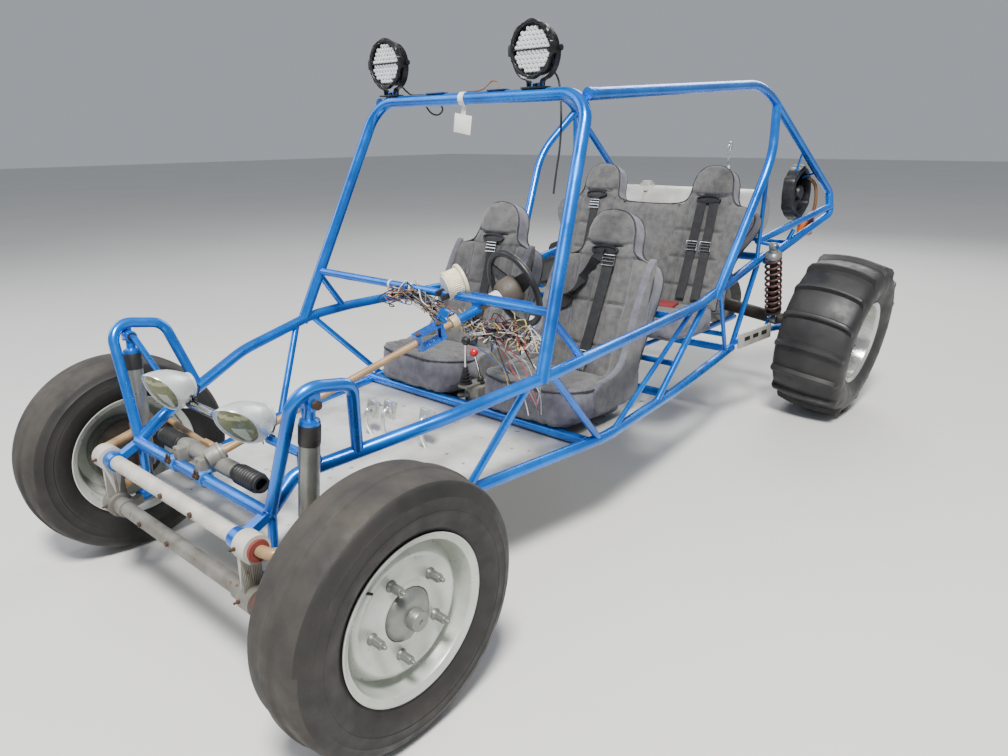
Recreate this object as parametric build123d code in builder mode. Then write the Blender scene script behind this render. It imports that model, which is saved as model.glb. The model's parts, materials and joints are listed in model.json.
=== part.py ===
# Four-seat tube-frame sand rail: the full vehicle without its engine.
# Frame: +Z up, the nose points along -Y, +X is the driver's side. Millimetres.
# Origin: on the ground under the middle of the overall box.
from build123d import *
from math import cos, radians, sin, tan
import os

# Driving dimensions of the vehicle
WHEELBASE = 2900.0
FRONT_TYRE_R = 340.0
REAR_TYRE_R = 400.0            # out to the paddle tips
FRONT_WHEEL_X = 703.0          # middle of the front tyre
REAR_WHEEL_X = 750.0           # middle of the rear tyre
FRONT_CAMBER = 1.0             # degrees, the wheel tops lean out
REAR_CAMBER = 7.5              # degrees, the wheel tops lean out as the axles hang
REAR_CROWN_R = 620.0           # arc of the rear tread across its width
FRONT_AXLE_Y = -(WHEELBASE + REAR_TYRE_R - FRONT_TYRE_R) / 2
REAR_AXLE_Y = FRONT_AXLE_Y + WHEELBASE
REAR_HUB_Z = (REAR_TYRE_R - REAR_CROWN_R) * cos(radians(REAR_CAMBER)) + REAR_CROWN_R

# Tube sizes
RAIL_R = 19.0
HOOP_R = 21.0
DASH_R = 14.0
CROSS_R = 18.0                 # cross tubes, a little thinner than the rails they meet
LEG_R = 16.0
BRACE_R = 12.5
THIN_R = 9.5
BEND_R = 110.0                 # centreline radius of a tight bend
SWEEP_R = 420.0                # centreline radius of a gentle bend
ROOF_BEND_R = 400.0            # where the roof rail turns down to the tail
TAIL_BEND_R = 45.0             # the tight bends round the tail


def at(x, back, z):
    """A place given by its distance behind the front axle."""
    return Vector(x, FRONT_AXLE_Y + back, z)


# Frame stations on the left side: across, behind the front axle, up
NOSE = at(356, -90, 491)
NOSE_LOW = at(345, -118, 318)
RAIL_KNEE = at(345, 0, 562)
RAIL_FRONT = at(520, 380, 648)
RAIL_HIP = at(602, 740, 700)
RAIL_DOOR = at(600, 920, 709)
RAIL_WAIST = at(540, 1800, 716)
RAIL_TAIL = at(510, 2500, 828)
SILL_FRONT = at(470, 400, 372)
SILL_WIDE = at(576, 1085, 382)
SILL_REAR = at(530, 1650, 382)
SILL_TAIL = at(462, 2330, 408)
HOOP_FOOT = at(597, 690, 681)
HOOP_TOP = at(493, 1050, 1497)
ROOF_REAR = at(517, 2298, 1569)      # corner before it is rounded
UPRIGHT_TOP = at(532, 2414, 1492)    # on the rounded corner
POST_TOP = at(530, 2404, 1499)
TAIL_HIGH = at(604, 3010, 1095)
TAIL_LOW = at(620, 3014, 985)
TAIL_FOOT = at(518, 2490, 806)
UPRIGHT_BEND = at(612, 2222, 1283)
UPRIGHT_FOOT = at(545, 1940, 722)
DASH_SHARE = 0.2365            # how far up the hoop leg the dash tube meets it
SHOCK_TOP = at(472, -18, 792)
SHOCK_FOOT = at(432, -44, 322)
SHOCK_HOOP_FRONT = at(488, -66, 842)
SHOCK_HOOP_REAR = at(484, 96, 812)

# Wheels
RIM_R = 207.0                  # flange
BEAD_R = 190.0
FRONT_RIM_HALF = 84.0
REAR_RIM_HALF = 145.0
RIM_WALL = 5.0
STUD_PCD = 205.0
STUD_COUNT = 5
STUD_R = 6.5
STUD_HOLE_R = 8.2
STUD_TURN = 24.0               # turn of the stud circle from upright
STUD_OUT = 46.0                # stud length beyond the disc face
STUD_CONE_R = 13.0
STUD_CONE_H = 10.0
DISC_FACE = 48.0               # stud face of a front wheel, out from its middle
DISC_HOLE_R = 66.0
FRONT_TYRE_HALF = 98.0
REAR_TYRE_HALF = 172.0
SIDEWALL_DROP = 120.0          # widest part of the carcass, in from the paddle tips
SHOULDER_DROP = 60.0
PADDLE_COUNT = 16
PADDLE_DEPTH = 22.0
PADDLE_W = 12.0
PADDLE_BOW = 38.0              # how far a paddle's middle stands ahead of its ends
DRUM_R = 118.0
SPINDLE_R = 17.0
SPINDLE_ROOT_R = 13.5
SPINDLE_FIT = 0.4              # running clearance round a spindle
STEER_GAP = 6.0                # between the knuckle and the arms

# Steering
PINION = at(62, -30, 562)
WHEEL_HUB = at(300, 922, 889)
STEER_RING_R = 128.0
STEER_GRIP_R = 11.0
SHAFT_R = 11.0
RACK_Y_BACK = -46.0            # behind the front axle
RACK_Z = 526.0
RACK_R = 24.0
RACK_HALF = 150.0
BELLOWS_LEN = 105.0
TIE_OUTER = at(-550, 86, 470)
TIE_BLOCK_HALF = 8.0
SLIDE_GAP = 1.0                # between the tie rod's slider and the housing
TIE_INNER = at(-70, RACK_Y_BACK + RACK_R + TIE_BLOCK_HALF + SLIDE_GAP, 530)
TIE_R = 10.0
BALL_R = 14.0
BALL_GAP = 0.6
BELLOWS_FOLDS = 7
YOKE_START = 640.0
YOKE_LEN = 96.0
YOKE_W = 52.0
COLUMN_START = 800.0
COLUMN_LEN = 84.0
COLUMN_GAP = 0.6
COLUMN_WALL = 4.0

# Seats
SEAT_X = 287.0
SEAT_W = 500.0
SEAT_BASE = at(0, 1330, 455)
SEAT_NOSE_Y = at(0, 930, 0).Y
SEAT_LEAN = 18.0
SEAT_BACK_H = 700.0
BACK_THICK = 95.0
HEAD_W = 262.0
HEAD_H = 175.0
REAR_SEAT_X = 306.0
BENCH_HALF = 556.0
BENCH_CLEAR = 22.0             # between the bench and the braces beside it
BENCH_LOW_Z = 520.0
BENCH_TUBE_R = 12.0
BEARER_X = 300.0               # bench bearers each side of the middle
REAR_SEAT_BASE = at(0, 2146, 590)
BENCH_NOSE_Y = at(0, 1760, 0).Y

# Fuel tank
TANK_BACK = 2686.0
TANK_Z = 998.0
TANK_R = 115.0
TANK_HALF = 402.0
TANK_FILLET = 20.0
CAP_X = -243.0
CAP_W = 62.0                   # square filler neck
CRADLE_HALF = 540.0
TAIL_R = 15.5
SEAT_GAP = 0.3                 # between a resting piece and its seat

# Rear axle
AXLE_ROOT_X = 150.0
AXLE_R = 34.0
COIL_TOP_BACK = 2424.0
COIL_TOP = at(578, COIL_TOP_BACK, 885)
COIL_FOOT = at(544, 2604, 506)
COIL_TURNS = 9
COIL_START = 62.0              # spring's lowest turn above the eye
COIL_R = 40.0
DAMPER_R = 24.0

# Headlamps: middle of the face, degrees that it looks down, degrees that it looks toward the left
HEADLAMPS = [
    (at(220, -70, 685), 30, 27),
    (at(-220, -56, 674), 25, 15),
]
LAMP_TAIL = Vector(-18, 100, -3)            # from the face's middle to the tail's
LAMP_TAIL_R = 28.0
LAMP_SEAT = 10.0               # how far the post enters the shell
LAMP_HALF_W = 60.0
LAMP_HALF_H = 73.0
LAMP_RIM = 6.0
LAMP_RECESS = 4.0
LAMP_BAR_Z = 618.0
LAMP_BAR_BACK = 20.0
ROOF_LAMPS_X = (285.0, -412.0)
ROOF_LAMP_Z = 1631.0
ROOF_LAMP_R = 88.0
ROOF_LAMP_REAR = 34.0          # back of a lamp behind the hoop's middle
BRACKET_W = 24.0
BRACKET_WALL = 5.0
LEAD_R = 3.5
SHIFTER = at(6, 1066, 0)
SHIFTER_H = 90.0
SHIFT_LEVERS = [(-8, -24, 250), (14, 22, 215)]      # across, back, height above the floor
# Pedals: across, behind the front axle, height above the floor, pad width
PEDALS = [(-95, 600, 120, 60), (20, 580, 150, 60), (140, 640, 130, 70)]

# Dash: sheet panel and gauge
PANEL_START = 232.0
PANEL_LEN = 268.0
PANEL_H = 27.0
PANEL_DROP = 8.0               # the panel's lower edge under the tube's middle
PANEL_WALL = 3.0
PANEL_SEAT = 2.0               # how far the panel sits into the tube
PANEL_CORNER = 16.0
GAUGE = at(130, 786, 905)
GAUGE_R = 38.0

# Tail fittings on the left
FAN = at(518, 2806, 1097)
FAN_R = 132.0
FAN_DEEP = 52.0
CANISTER = at(540, 2912, 932)
CANISTER_R = 38.0
CANISTER_H = 92.0
TAIL_RUN = [TAIL_FOOT, TAIL_LOW]

# Floor sheet
FLOOR_Z = 368.0
FLOOR_SHEET = 3.0
FLOOR_START = -60.0
FLOOR_END = 1583.0
FLOOR_GAP = -10.0              # the sheet's edge reaches in under the rails

# Front beam and suspension
BEAM_UPPER = at(0, -168, 455)
BEAM_LOWER = at(0, -168, 305)
BEAM_HALF = 412.0
BEAM_R = 22.0
BOSS_R = 37.0
BOSS_W = 52.0
PLATE_W = 16.0
CLAMP_W = 40.0
CLAMP_DEPTH = 12.0
CLAMP_WALL = 5.0
CLAMP_GAP = 0.3
ARM_X = 470.0
ARM_R = 15.0
ARM_EYE_R = 21.0
KINGPIN_X = 585.0
KINGPIN_R = 11.0
SHOCK_BODY_R = 20.0
SHOCK_CAN_R = 25.0
SHOCK_EYE_R = 17.0
SHOCK_EYE_W = 30.0
SHOCK_BOLT_IN = 34.0
BOLT_R = 8.0


def rod(points, radius, bends=None):
    """A round tube, given as its outside, along straight runs with rounded corners."""
    with BuildPart() as tube:
        with BuildLine() as path:
            if len(points) == 2:
                Line(*points)
            else:
                FilletPolyline(*points, radius=bends)
        with BuildSketch(Plane(origin=path.line @ 0, z_dir=path.line % 0)):
            Circle(radius)
        sweep()
    return tube.part


def flip(place):
    """The same place on the right side."""
    return Vector(-place.X, place.Y, place.Z)


def along(start, end, share):
    """The place at a share of the way from start to end."""
    return start + (end - start) * share


def on_line(points, back):
    """The place on a chain of straight runs at a distance behind the front axle."""
    y = FRONT_AXLE_Y + back
    for start, end in zip(points, points[1:]):
        if start.Y <= y <= end.Y:
            return along(start, end, (y - start.Y) / (end.Y - start.Y))


def at_height(run, z):
    """The place on a straight run, given by its two ends first, at a height."""
    start, end = run[0], run[1]
    return along(start, end, (z - start.Z) / (end.Z - start.Z))


def ring(profile, centre, axis):
    """A turned piece: profile points are (along the axis, radius)."""
    other = Vector(0, 0, 1) if abs(axis.X) > 0.9 else Vector(1, 0, 0)
    side = Plane(origin=centre, x_dir=axis, z_dir=axis.cross(other))
    with BuildPart() as turned:
        with BuildSketch(side):
            with BuildLine():
                Polyline(*profile, close=True)
            make_face()
        revolve(axis=Axis(centre, axis))
    return turned.part


def write(piece, name):
    piece.part.label = name
    export_step(piece.part, "parts/" + name + ".step")


os.makedirs("parts", exist_ok=True)


# Side rails, each bent from one tube
upper_line = [NOSE, RAIL_KNEE, RAIL_FRONT, RAIL_HIP, RAIL_DOOR, RAIL_WAIST, RAIL_TAIL]
upper_bends = [60.0, SWEEP_R, SWEEP_R, 300.0, SWEEP_R]
upper_rod = rod(upper_line, RAIL_R, upper_bends)
with BuildPart() as upper_rails:
    add(upper_rod)
    mirror(about=Plane.YZ)
write(upper_rails, "upper_rails")

lower_line = [NOSE_LOW, SILL_FRONT, SILL_WIDE, SILL_REAR, SILL_TAIL]
lower_rod = rod(lower_line, RAIL_R, [SWEEP_R, SWEEP_R, SWEEP_R])
with BuildPart() as lower_rails:
    add(lower_rod)
    mirror(about=Plane.YZ)
write(lower_rails, "lower_rails")

# Front roll hoop, standing on the upper rails
hoop_line = [HOOP_FOOT, HOOP_TOP, flip(HOOP_TOP), flip(HOOP_FOOT)]
hoop_rod = rod(hoop_line, HOOP_R, BEND_R)
with BuildPart() as front_hoop:
    add(hoop_rod)
    add(upper_rails.part, mode=Mode.SUBTRACT)
write(front_hoop, "front_hoop")

# Roof rails, running on round the tail and back to the ends of the upper rails
roof_line = [HOOP_TOP + Vector(-6, 10, -4), ROOF_REAR, TAIL_HIGH, TAIL_LOW, TAIL_FOOT]
roof_rod = rod(roof_line, RAIL_R, [ROOF_BEND_R, TAIL_BEND_R, TAIL_BEND_R])
with BuildPart() as roof_rails:
    add(roof_rod)
    mirror(about=Plane.YZ)
    add(front_hoop.part, mode=Mode.SUBTRACT)
    add(upper_rails.part, mode=Mode.SUBTRACT)
write(roof_rails, "roof_rails")

# Rear uprights, bent outward round the rear seats
upright_rod = rod([UPRIGHT_TOP, UPRIGHT_BEND, UPRIGHT_FOOT], RAIL_R, [SWEEP_R])
with BuildPart() as rear_uprights:
    add(upright_rod)
    mirror(about=Plane.YZ)
    add(roof_rails.part, mode=Mode.SUBTRACT)
    add(upper_rails.part, mode=Mode.SUBTRACT)
write(rear_uprights, "rear_uprights")

# Straight cross tubes between the two sides: left end, radius
DASH_END = along(HOOP_FOOT, HOOP_TOP, DASH_SHARE)
SEAT_TUBE = on_line(lower_line, 985) + Vector(0, 0, 10)
cross_runs = [
    (NOSE, CROSS_R),
    (DASH_END, DASH_R),
    (SEAT_TUBE, CROSS_R),
    (on_line(upper_line, 1560), DASH_R),
    (on_line(lower_line, 1604), CROSS_R),
    (on_line(upper_line, 2470), CROSS_R),
    (on_line(lower_line, 2300), CROSS_R),
]
cross_rods = [rod([end, flip(end)], radius) for end, radius in cross_runs]
with BuildPart() as cross_tubes:
    add(cross_rods)
    for joined in (upper_rails, lower_rails, front_hoop, roof_rails):
        add(joined.part, mode=Mode.SUBTRACT)
write(cross_tubes, "cross_tubes")

# Straight side braces on the left: start, end, radius
brace_runs = [
    (NOSE + Vector(0, 10, 0), on_line(lower_line, -88), BRACE_R),
    (on_line(upper_line, 655), on_line(lower_line, 480), BRACE_R),
    (on_line(upper_line, 735), on_line(lower_line, 1050), BRACE_R),
    (on_line(lower_line, 1125), on_line(upper_line, 1750), THIN_R),
    (on_line(lower_line, 1480), on_line(upper_line, 1880), BRACE_R),
    (on_line(upper_line, 2005), on_line(lower_line, 2245), THIN_R),
    (on_line(upper_line, 2430), on_line(lower_line, 2325), BRACE_R),
    (DASH_END + Vector(0, 6, -26), on_line(upper_line, 896), BRACE_R),
    (on_line(upper_line, 2406), POST_TOP, THIN_R),
]
brace_rods = [rod([start, end], radius) for start, end, radius in brace_runs]
with BuildPart() as side_braces:
    add(brace_rods)
    mirror(about=Plane.YZ)
    for joined in (upper_rails, lower_rails, front_hoop, roof_rails, rear_uprights, cross_tubes):
        add(joined.part, mode=Mode.SUBTRACT)
write(side_braces, "side_braces")

# Tail tubes that carry the spring tops, and the cross tube under the fuel tank
cradle_place = at(0, TANK_BACK, TANK_Z - TANK_R - THIN_R - SEAT_GAP)
cradle_end = cradle_place + Vector(CRADLE_HALF, 0, 0)
tail_rod = rod([at(506, 2412, 903), TAIL_LOW + Vector(0, -6, 40)], TAIL_R)
spring_bolt_rod = rod([at(506, COIL_TOP_BACK, 899), COIL_TOP + Vector(SHOCK_EYE_W / 2 + 8, 0, 0)], BOLT_R)
cradle_drop_rod = rod([cradle_end, cradle_end + Vector(26, 0, 60)], THIN_R)
cradle_rod = rod([flip(cradle_end + Vector(4, 0, 0)), cradle_end + Vector(4, 0, 0)], THIN_R)
with BuildPart() as tail_tubes:
    add(tail_rod)
    add(spring_bolt_rod)
    add(cradle_drop_rod)
    mirror(about=Plane.YZ)
    add(cradle_rod)
    for joined in (roof_rails, side_braces):
        add(joined.part, mode=Mode.SUBTRACT)
write(tail_tubes, "tail_tubes")

# Front shock hoops
shock_hoop_line = [NOSE + Vector(0, 6, 0), SHOCK_HOOP_FRONT, SHOCK_HOOP_REAR, on_line(upper_line, 150)]
shock_hoop_rod = rod(shock_hoop_line, LEG_R, [60.0, 50.0])
shock_brace_rod = rod([SHOCK_TOP + Vector(-SHOCK_BOLT_IN, 0, 0), on_line(upper_line, 60)], THIN_R)
shock_bolt_rod = rod([SHOCK_TOP + Vector(-SHOCK_BOLT_IN - 8, 0, 0), SHOCK_TOP + Vector(26, 0, 0)], BOLT_R)
with BuildPart() as shock_hoops:
    add(shock_hoop_rod)
    add(shock_brace_rod)
    add(shock_bolt_rod)
    with BuildSketch(Plane.YZ.offset(SHOCK_TOP.X + SHOCK_EYE_W / 2 + 0.3)):
        with Locations((SHOCK_TOP.Y, SHOCK_TOP.Z + 16)):
            Rectangle(30, 62)
    extrude(amount=8)
    mirror(about=Plane.YZ)
    for joined in (upper_rails, cross_tubes, side_braces):
        add(joined.part, mode=Mode.SUBTRACT)
write(shock_hoops, "shock_hoops")

# Floor sheet between the lower rails
floor_edge = [(place.X - RAIL_R - FLOOR_GAP, place.Y) for place in
              (on_line(lower_line, back) for back in (FLOOR_START, 400, 1085, FLOOR_END))]
with BuildPart() as floor_pan:
    with BuildSketch(Plane.XY.offset(FLOOR_Z)):
        Polygon(*floor_edge, *[(-x, y) for x, y in reversed(floor_edge)], align=None)
    extrude(amount=-FLOOR_SHEET)
    add(lower_rails.part, mode=Mode.SUBTRACT)
    add(cross_tubes.part, mode=Mode.SUBTRACT)
write(floor_pan, "floor_pan")

# Front beam: two tubes tied by a plate and a pair of bosses at each end
beam_ends = [
    (BEAM_UPPER, BEAM_HALF + 14),
    (BEAM_LOWER, BEAM_HALF),
]
with BuildPart() as front_beam:
    for centre, half in beam_ends:
        with BuildSketch(Plane.YZ):
            with Locations((centre.Y, centre.Z)):
                Circle(BEAM_R)
        extrude(amount=half, both=True)
        for side in (-1, 1):
            with BuildSketch(Plane.YZ.offset(side * (half - BOSS_W / 2))):
                with Locations((centre.Y, centre.Z)):
                    Circle(BOSS_R)
            extrude(amount=BOSS_W / 2, both=True)
    for side in (-1, 1):
        with BuildSketch(Plane.YZ.offset(side * (BEAM_HALF - 30))):
            with Locations(((BEAM_UPPER.Y + BEAM_LOWER.Y) / 2, (BEAM_UPPER.Z + BEAM_LOWER.Z) / 2)):
                Rectangle(2 * BOSS_R - 22, BEAM_UPPER.Z - BEAM_LOWER.Z)
        extrude(amount=PLATE_W / 2, both=True)
write(front_beam, "front_beam")

# Clamps from the nose to the beam's tubes: tube centre, frame place, middle of the clamp
clamp_runs = [
    (BEAM_UPPER, NOSE, NOSE.X - 4),
    (BEAM_LOWER, NOSE_LOW + Vector(0, 4, 0), NOSE_LOW.X - 6),
]
with BuildPart() as beam_clamps:
    for centre, root, x in clamp_runs:
        with BuildSketch(Plane.YZ.offset(x)):
            with BuildLine():
                Polyline((root.Y, root.Z + CLAMP_DEPTH), (root.Y, root.Z - CLAMP_DEPTH),
                         (centre.Y, centre.Z - CLAMP_DEPTH), (centre.Y, centre.Z + CLAMP_DEPTH),
                         close=True)
            make_face()
        extrude(amount=CLAMP_W / 2 - 6, both=True)
        with BuildSketch(Plane.YZ.offset(x)):
            with Locations((centre.Y, centre.Z)):
                Circle(BEAM_R + CLAMP_GAP + CLAMP_WALL)
        extrude(amount=CLAMP_W / 2, both=True)
        with BuildSketch(Plane.YZ.offset(x)):
            with Locations((centre.Y, centre.Z)):
                Circle(BEAM_R + CLAMP_GAP)
        extrude(amount=CLAMP_W, both=True, mode=Mode.SUBTRACT)
    mirror(about=Plane.YZ)
    for joined in (upper_rails, lower_rails, cross_tubes, side_braces, shock_hoops):
        add(joined.part, mode=Mode.SUBTRACT)
write(beam_clamps, "beam_clamps")

# Front trailing arms with the king pin between their ends
arm_rods = [
    rod([centre + Vector(BEAM_HALF + inset, 0, 0), Vector(ARM_X, centre.Y + 10, centre.Z),
         Vector(KINGPIN_X - 30, FRONT_AXLE_Y, centre.Z)], ARM_R, [ARM_R + 4])
    for centre, inset in ((BEAM_UPPER, 14), (BEAM_LOWER, 0))]
shock_stud_rod = rod([SHOCK_FOOT + Vector(-SHOCK_EYE_W / 2 - 6, 0, 0), at(532, -44, BEAM_LOWER.Z)], BOLT_R)
with BuildPart() as trailing_arms:
    add(arm_rods)
    add(shock_stud_rod)
    for centre in (BEAM_UPPER, BEAM_LOWER):
        with BuildSketch(Plane.XY.offset(centre.Z)):
            with Locations((KINGPIN_X, FRONT_AXLE_Y)):
                Circle(ARM_EYE_R)
        extrude(amount=ARM_R, both=True)
    with BuildSketch(Plane.XY.offset(BEAM_LOWER.Z)):
        with Locations((KINGPIN_X, FRONT_AXLE_Y)):
            Circle(KINGPIN_R)
    extrude(amount=BEAM_UPPER.Z - BEAM_LOWER.Z)
    mirror(about=Plane.YZ)
    add(front_beam.part, mode=Mode.SUBTRACT)
write(trailing_arms, "trailing_arms")

# Front shocks: dust tube, body and eyes on one line
shock_axis = (SHOCK_TOP - SHOCK_FOOT).normalized()
shock_len = (SHOCK_TOP - SHOCK_FOOT).length
shock_turned = ring([(0, 0), (0, 11), (30, 11), (30, SHOCK_BODY_R), (shock_len - 96, SHOCK_BODY_R),
                     (shock_len - 96, SHOCK_CAN_R), (shock_len - 26, SHOCK_CAN_R), (shock_len - 26, 10),
                     (shock_len, 10), (shock_len, 0)], SHOCK_FOOT, shock_axis)
with BuildPart() as front_shocks:
    add(shock_turned)
    for place in (SHOCK_TOP, SHOCK_FOOT):
        with BuildSketch(Plane.YZ.offset(place.X)):
            with Locations((place.Y, place.Z)):
                Circle(SHOCK_EYE_R)
        extrude(amount=SHOCK_EYE_W / 2, both=True)
    mirror(about=Plane.YZ)
    for joined in (trailing_arms, shock_hoops):
        add(joined.part, mode=Mode.SUBTRACT)
write(front_shocks, "front_shocks")


def lathe_wheel(profile, holes=None):
    """A wheel-shaped piece about the X axis, profile given as (out, radius)."""
    with BuildPart() as turned:
        with BuildSketch(Plane.XZ):
            with BuildLine():
                Polyline(*profile, close=True)
            make_face()
        revolve(axis=Axis.X)
        if holes:
            with BuildSketch(Plane.YZ.offset(-FRONT_RIM_HALF)):
                with PolarLocations(STUD_PCD / 2, STUD_COUNT, start_angle=90 + STUD_TURN):
                    Circle(holes)
            extrude(amount=3 * FRONT_RIM_HALF, mode=Mode.SUBTRACT)
    return turned.part


def placed(shape, place, lean=0.0):
    """Stand a wheel-shaped piece at a place, leaning its top outward."""
    return shape.moved(Location(place, (0, lean, 0)))


def mirrored(shape):
    return mirror(shape, about=Plane.YZ)


FRONT_RIB_HALF = 16.0          # half the width of the front tyre's raised rib
FRONT_HUB_Z = FRONT_TYRE_R * cos(radians(FRONT_CAMBER)) + FRONT_RIB_HALF * sin(radians(FRONT_CAMBER))
FRONT_HUB = Vector(FRONT_WHEEL_X, FRONT_AXLE_Y, FRONT_HUB_Z)
REAR_HUB = Vector(REAR_WHEEL_X, REAR_AXLE_Y, REAR_HUB_Z)

# Front tyre: smooth, with one raised rib round its middle
front_tyre_profile = [(-73, BEAD_R + 0.4), (-73, RIM_R + 5), (-FRONT_TYRE_HALF, 255), (-90, 305),
                      (-72, FRONT_TYRE_R - 9), (-FRONT_RIB_HALF - 4, FRONT_TYRE_R - 7),
                      (-FRONT_RIB_HALF, FRONT_TYRE_R), (FRONT_RIB_HALF, FRONT_TYRE_R),
                      (FRONT_RIB_HALF + 4, FRONT_TYRE_R - 7), (72, FRONT_TYRE_R - 9), (90, 305), (FRONT_TYRE_HALF, 255),
                      (73, RIM_R + 5), (73, BEAD_R + 0.4)]
front_tyre_shape = lathe_wheel(front_tyre_profile)

# Front wheel: well, flanges and a dished disc on five studs
front_rim_profile = [
    (-FRONT_RIM_HALF, RIM_R), (-FRONT_RIM_HALF, RIM_R - 6), (-78, BEAD_R - RIM_WALL), (-50, BEAD_R - RIM_WALL),
    (-34, 168), (22, 168), (30, 150), (DISC_FACE - 8, 140), (DISC_FACE - 8, DISC_HOLE_R),
    (DISC_FACE, DISC_HOLE_R), (DISC_FACE, 143), (38, 154), (32, 172), (40, BEAD_R - RIM_WALL),
    (78, BEAD_R - RIM_WALL), (FRONT_RIM_HALF, RIM_R - 6), (FRONT_RIM_HALF, RIM_R), (79, RIM_R), (74, BEAD_R),
    (34, BEAD_R), (24, 174), (-30, 174), (-46, BEAD_R), (-74, BEAD_R), (-79, RIM_R)]
front_rim_shape = lathe_wheel(front_rim_profile, STUD_HOLE_R)

# Front hub: drum behind the disc, domed middle with a grease cap, long studs
drum_back = DISC_FACE - 8 - 62
hub_profile = [(drum_back, SPINDLE_R + SPINDLE_FIT), (drum_back, DRUM_R), (DISC_FACE - 8, DRUM_R),
               (DISC_FACE - 8, 60), (DISC_FACE + 4, 58), (DISC_FACE + 16, 46), (DISC_FACE + 20, 30),
               (DISC_FACE + 21, 24), (DISC_FACE + 38, 22), (DISC_FACE + 44, 12), (DISC_FACE + 44, 0),
               (DISC_FACE, 0), (DISC_FACE, SPINDLE_R + SPINDLE_FIT)]
with BuildPart() as hub_turned:
    add(lathe_wheel(hub_profile))
    with BuildSketch(Plane.YZ.offset(DISC_FACE - 10)):
        with PolarLocations(STUD_PCD / 2, STUD_COUNT, start_angle=90 + STUD_TURN):
            Circle(STUD_R)
    extrude(amount=STUD_OUT + 10)
    with BuildSketch(Plane.YZ.offset(DISC_FACE)):
        with PolarLocations(STUD_PCD / 2, STUD_COUNT, start_angle=90 + STUD_TURN):
            Circle(STUD_CONE_R)
    extrude(amount=STUD_CONE_H, taper=20)
front_hub_shape = hub_turned.part

# Rear tyre: a crowned carcass with full-width bowed paddles
carcass_r = REAR_TYRE_R - PADDLE_DEPTH


def crown(out, top):
    """Radius of the crowned tread at a distance out from the wheel's middle."""
    return top - REAR_CROWN_R + (REAR_CROWN_R ** 2 - out ** 2) ** 0.5


sidewall_r = REAR_TYRE_R - SIDEWALL_DROP
shoulder_r = REAR_TYRE_R - SHOULDER_DROP
carcass_profile = [(-134, BEAD_R + 0.4), (-134, RIM_R + 5), (-REAR_TYRE_HALF, sidewall_r),
                   (-REAR_TYRE_HALF + 8, shoulder_r), (-138, crown(138, carcass_r)), (-70, crown(70, carcass_r)),
                   (0, carcass_r), (70, crown(70, carcass_r)), (138, crown(138, carcass_r)),
                   (REAR_TYRE_HALF - 8, shoulder_r), (REAR_TYRE_HALF, sidewall_r), (134, RIM_R + 5),
                   (134, BEAD_R + 0.4)]
paddle_band = [(-160, shoulder_r), (-150, crown(150, REAR_TYRE_R)), (-75, crown(75, REAR_TYRE_R)),
               (0, REAR_TYRE_R), (75, crown(75, REAR_TYRE_R)), (150, crown(150, REAR_TYRE_R)), (160, shoulder_r)]
paddle_edge = [(across, PADDLE_BOW * (across / 165) ** 2 - PADDLE_BOW / 2)
               for across in (-165, -82, 0, 82, 165)]
with BuildPart() as paddle_block:
    with BuildSketch(Plane.XY.offset(-REAR_TYRE_R)):
        with BuildLine():
            Polyline(*paddle_edge, *[(across, y + PADDLE_W) for across, y in reversed(paddle_edge)],
                     close=True)
        make_face()
    extrude(amount=2 * PADDLE_DEPTH + 14)
    add(lathe_wheel(paddle_band), mode=Mode.INTERSECT)
with BuildPart() as rear_tyre_turned:
    add(lathe_wheel(carcass_profile))
    for step in range(PADDLE_COUNT):
        add(paddle_block.part.rotate(Axis.X, step * 360.0 / PADDLE_COUNT))
rear_tyre_shape = rear_tyre_turned.part

rear_rim_profile = [
    (-145, RIM_R), (-145, RIM_R - 6), (-139, BEAD_R - RIM_WALL), (-80, BEAD_R - RIM_WALL), (-60, 165),
    (20, 165), (30, 150), (40, 140), (40, DISC_HOLE_R), (48, DISC_HOLE_R), (48, 143), (40, 154), (34, 172),
    (60, BEAD_R - RIM_WALL), (139, BEAD_R - RIM_WALL), (145, RIM_R - 6), (145, RIM_R), (140, RIM_R),
    (135, BEAD_R), (50, BEAD_R), (24, 171), (-56, 171), (-74, BEAD_R), (-135, BEAD_R), (-140, RIM_R)]
rear_rim_shape = lathe_wheel(rear_rim_profile, STUD_HOLE_R)

wheel_sets = [
    ("tyre_front", front_tyre_shape, FRONT_HUB, FRONT_CAMBER),
    ("rim_front", front_rim_shape, FRONT_HUB, FRONT_CAMBER),
    ("hub_front", front_hub_shape, FRONT_HUB, FRONT_CAMBER),
    ("tyre_rear", rear_tyre_shape, REAR_HUB, REAR_CAMBER),
    ("rim_rear", rear_rim_shape, REAR_HUB, REAR_CAMBER),
    ("hub_rear", front_hub_shape, REAR_HUB, REAR_CAMBER),
]
for name, shape, place, lean in wheel_sets:
    left = placed(shape, place, lean)
    right = mirrored(left)
    for side, solid in (("_left", left), ("_right", right)):
        with BuildPart() as wheel_piece:
            add(solid)
        write(wheel_piece, name + side)

# Front knuckles: barrel on the king pin, spindle and backing plate
barrel_low = BEAM_LOWER.Z + ARM_R + STEER_GAP
barrel_high = BEAM_UPPER.Z - ARM_R - STEER_GAP
boss_x = KINGPIN_X + ARM_EYE_R + STEER_GAP
spindle_dir = Vector(cos(radians(FRONT_CAMBER)), 0, -sin(radians(FRONT_CAMBER)))


def spindle_plane(x):
    """A plane across the spindle at a distance from the car's middle."""
    return Plane(origin=FRONT_HUB + spindle_dir * (x - FRONT_WHEEL_X), x_dir=(0, 1, 0), z_dir=spindle_dir)


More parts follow.
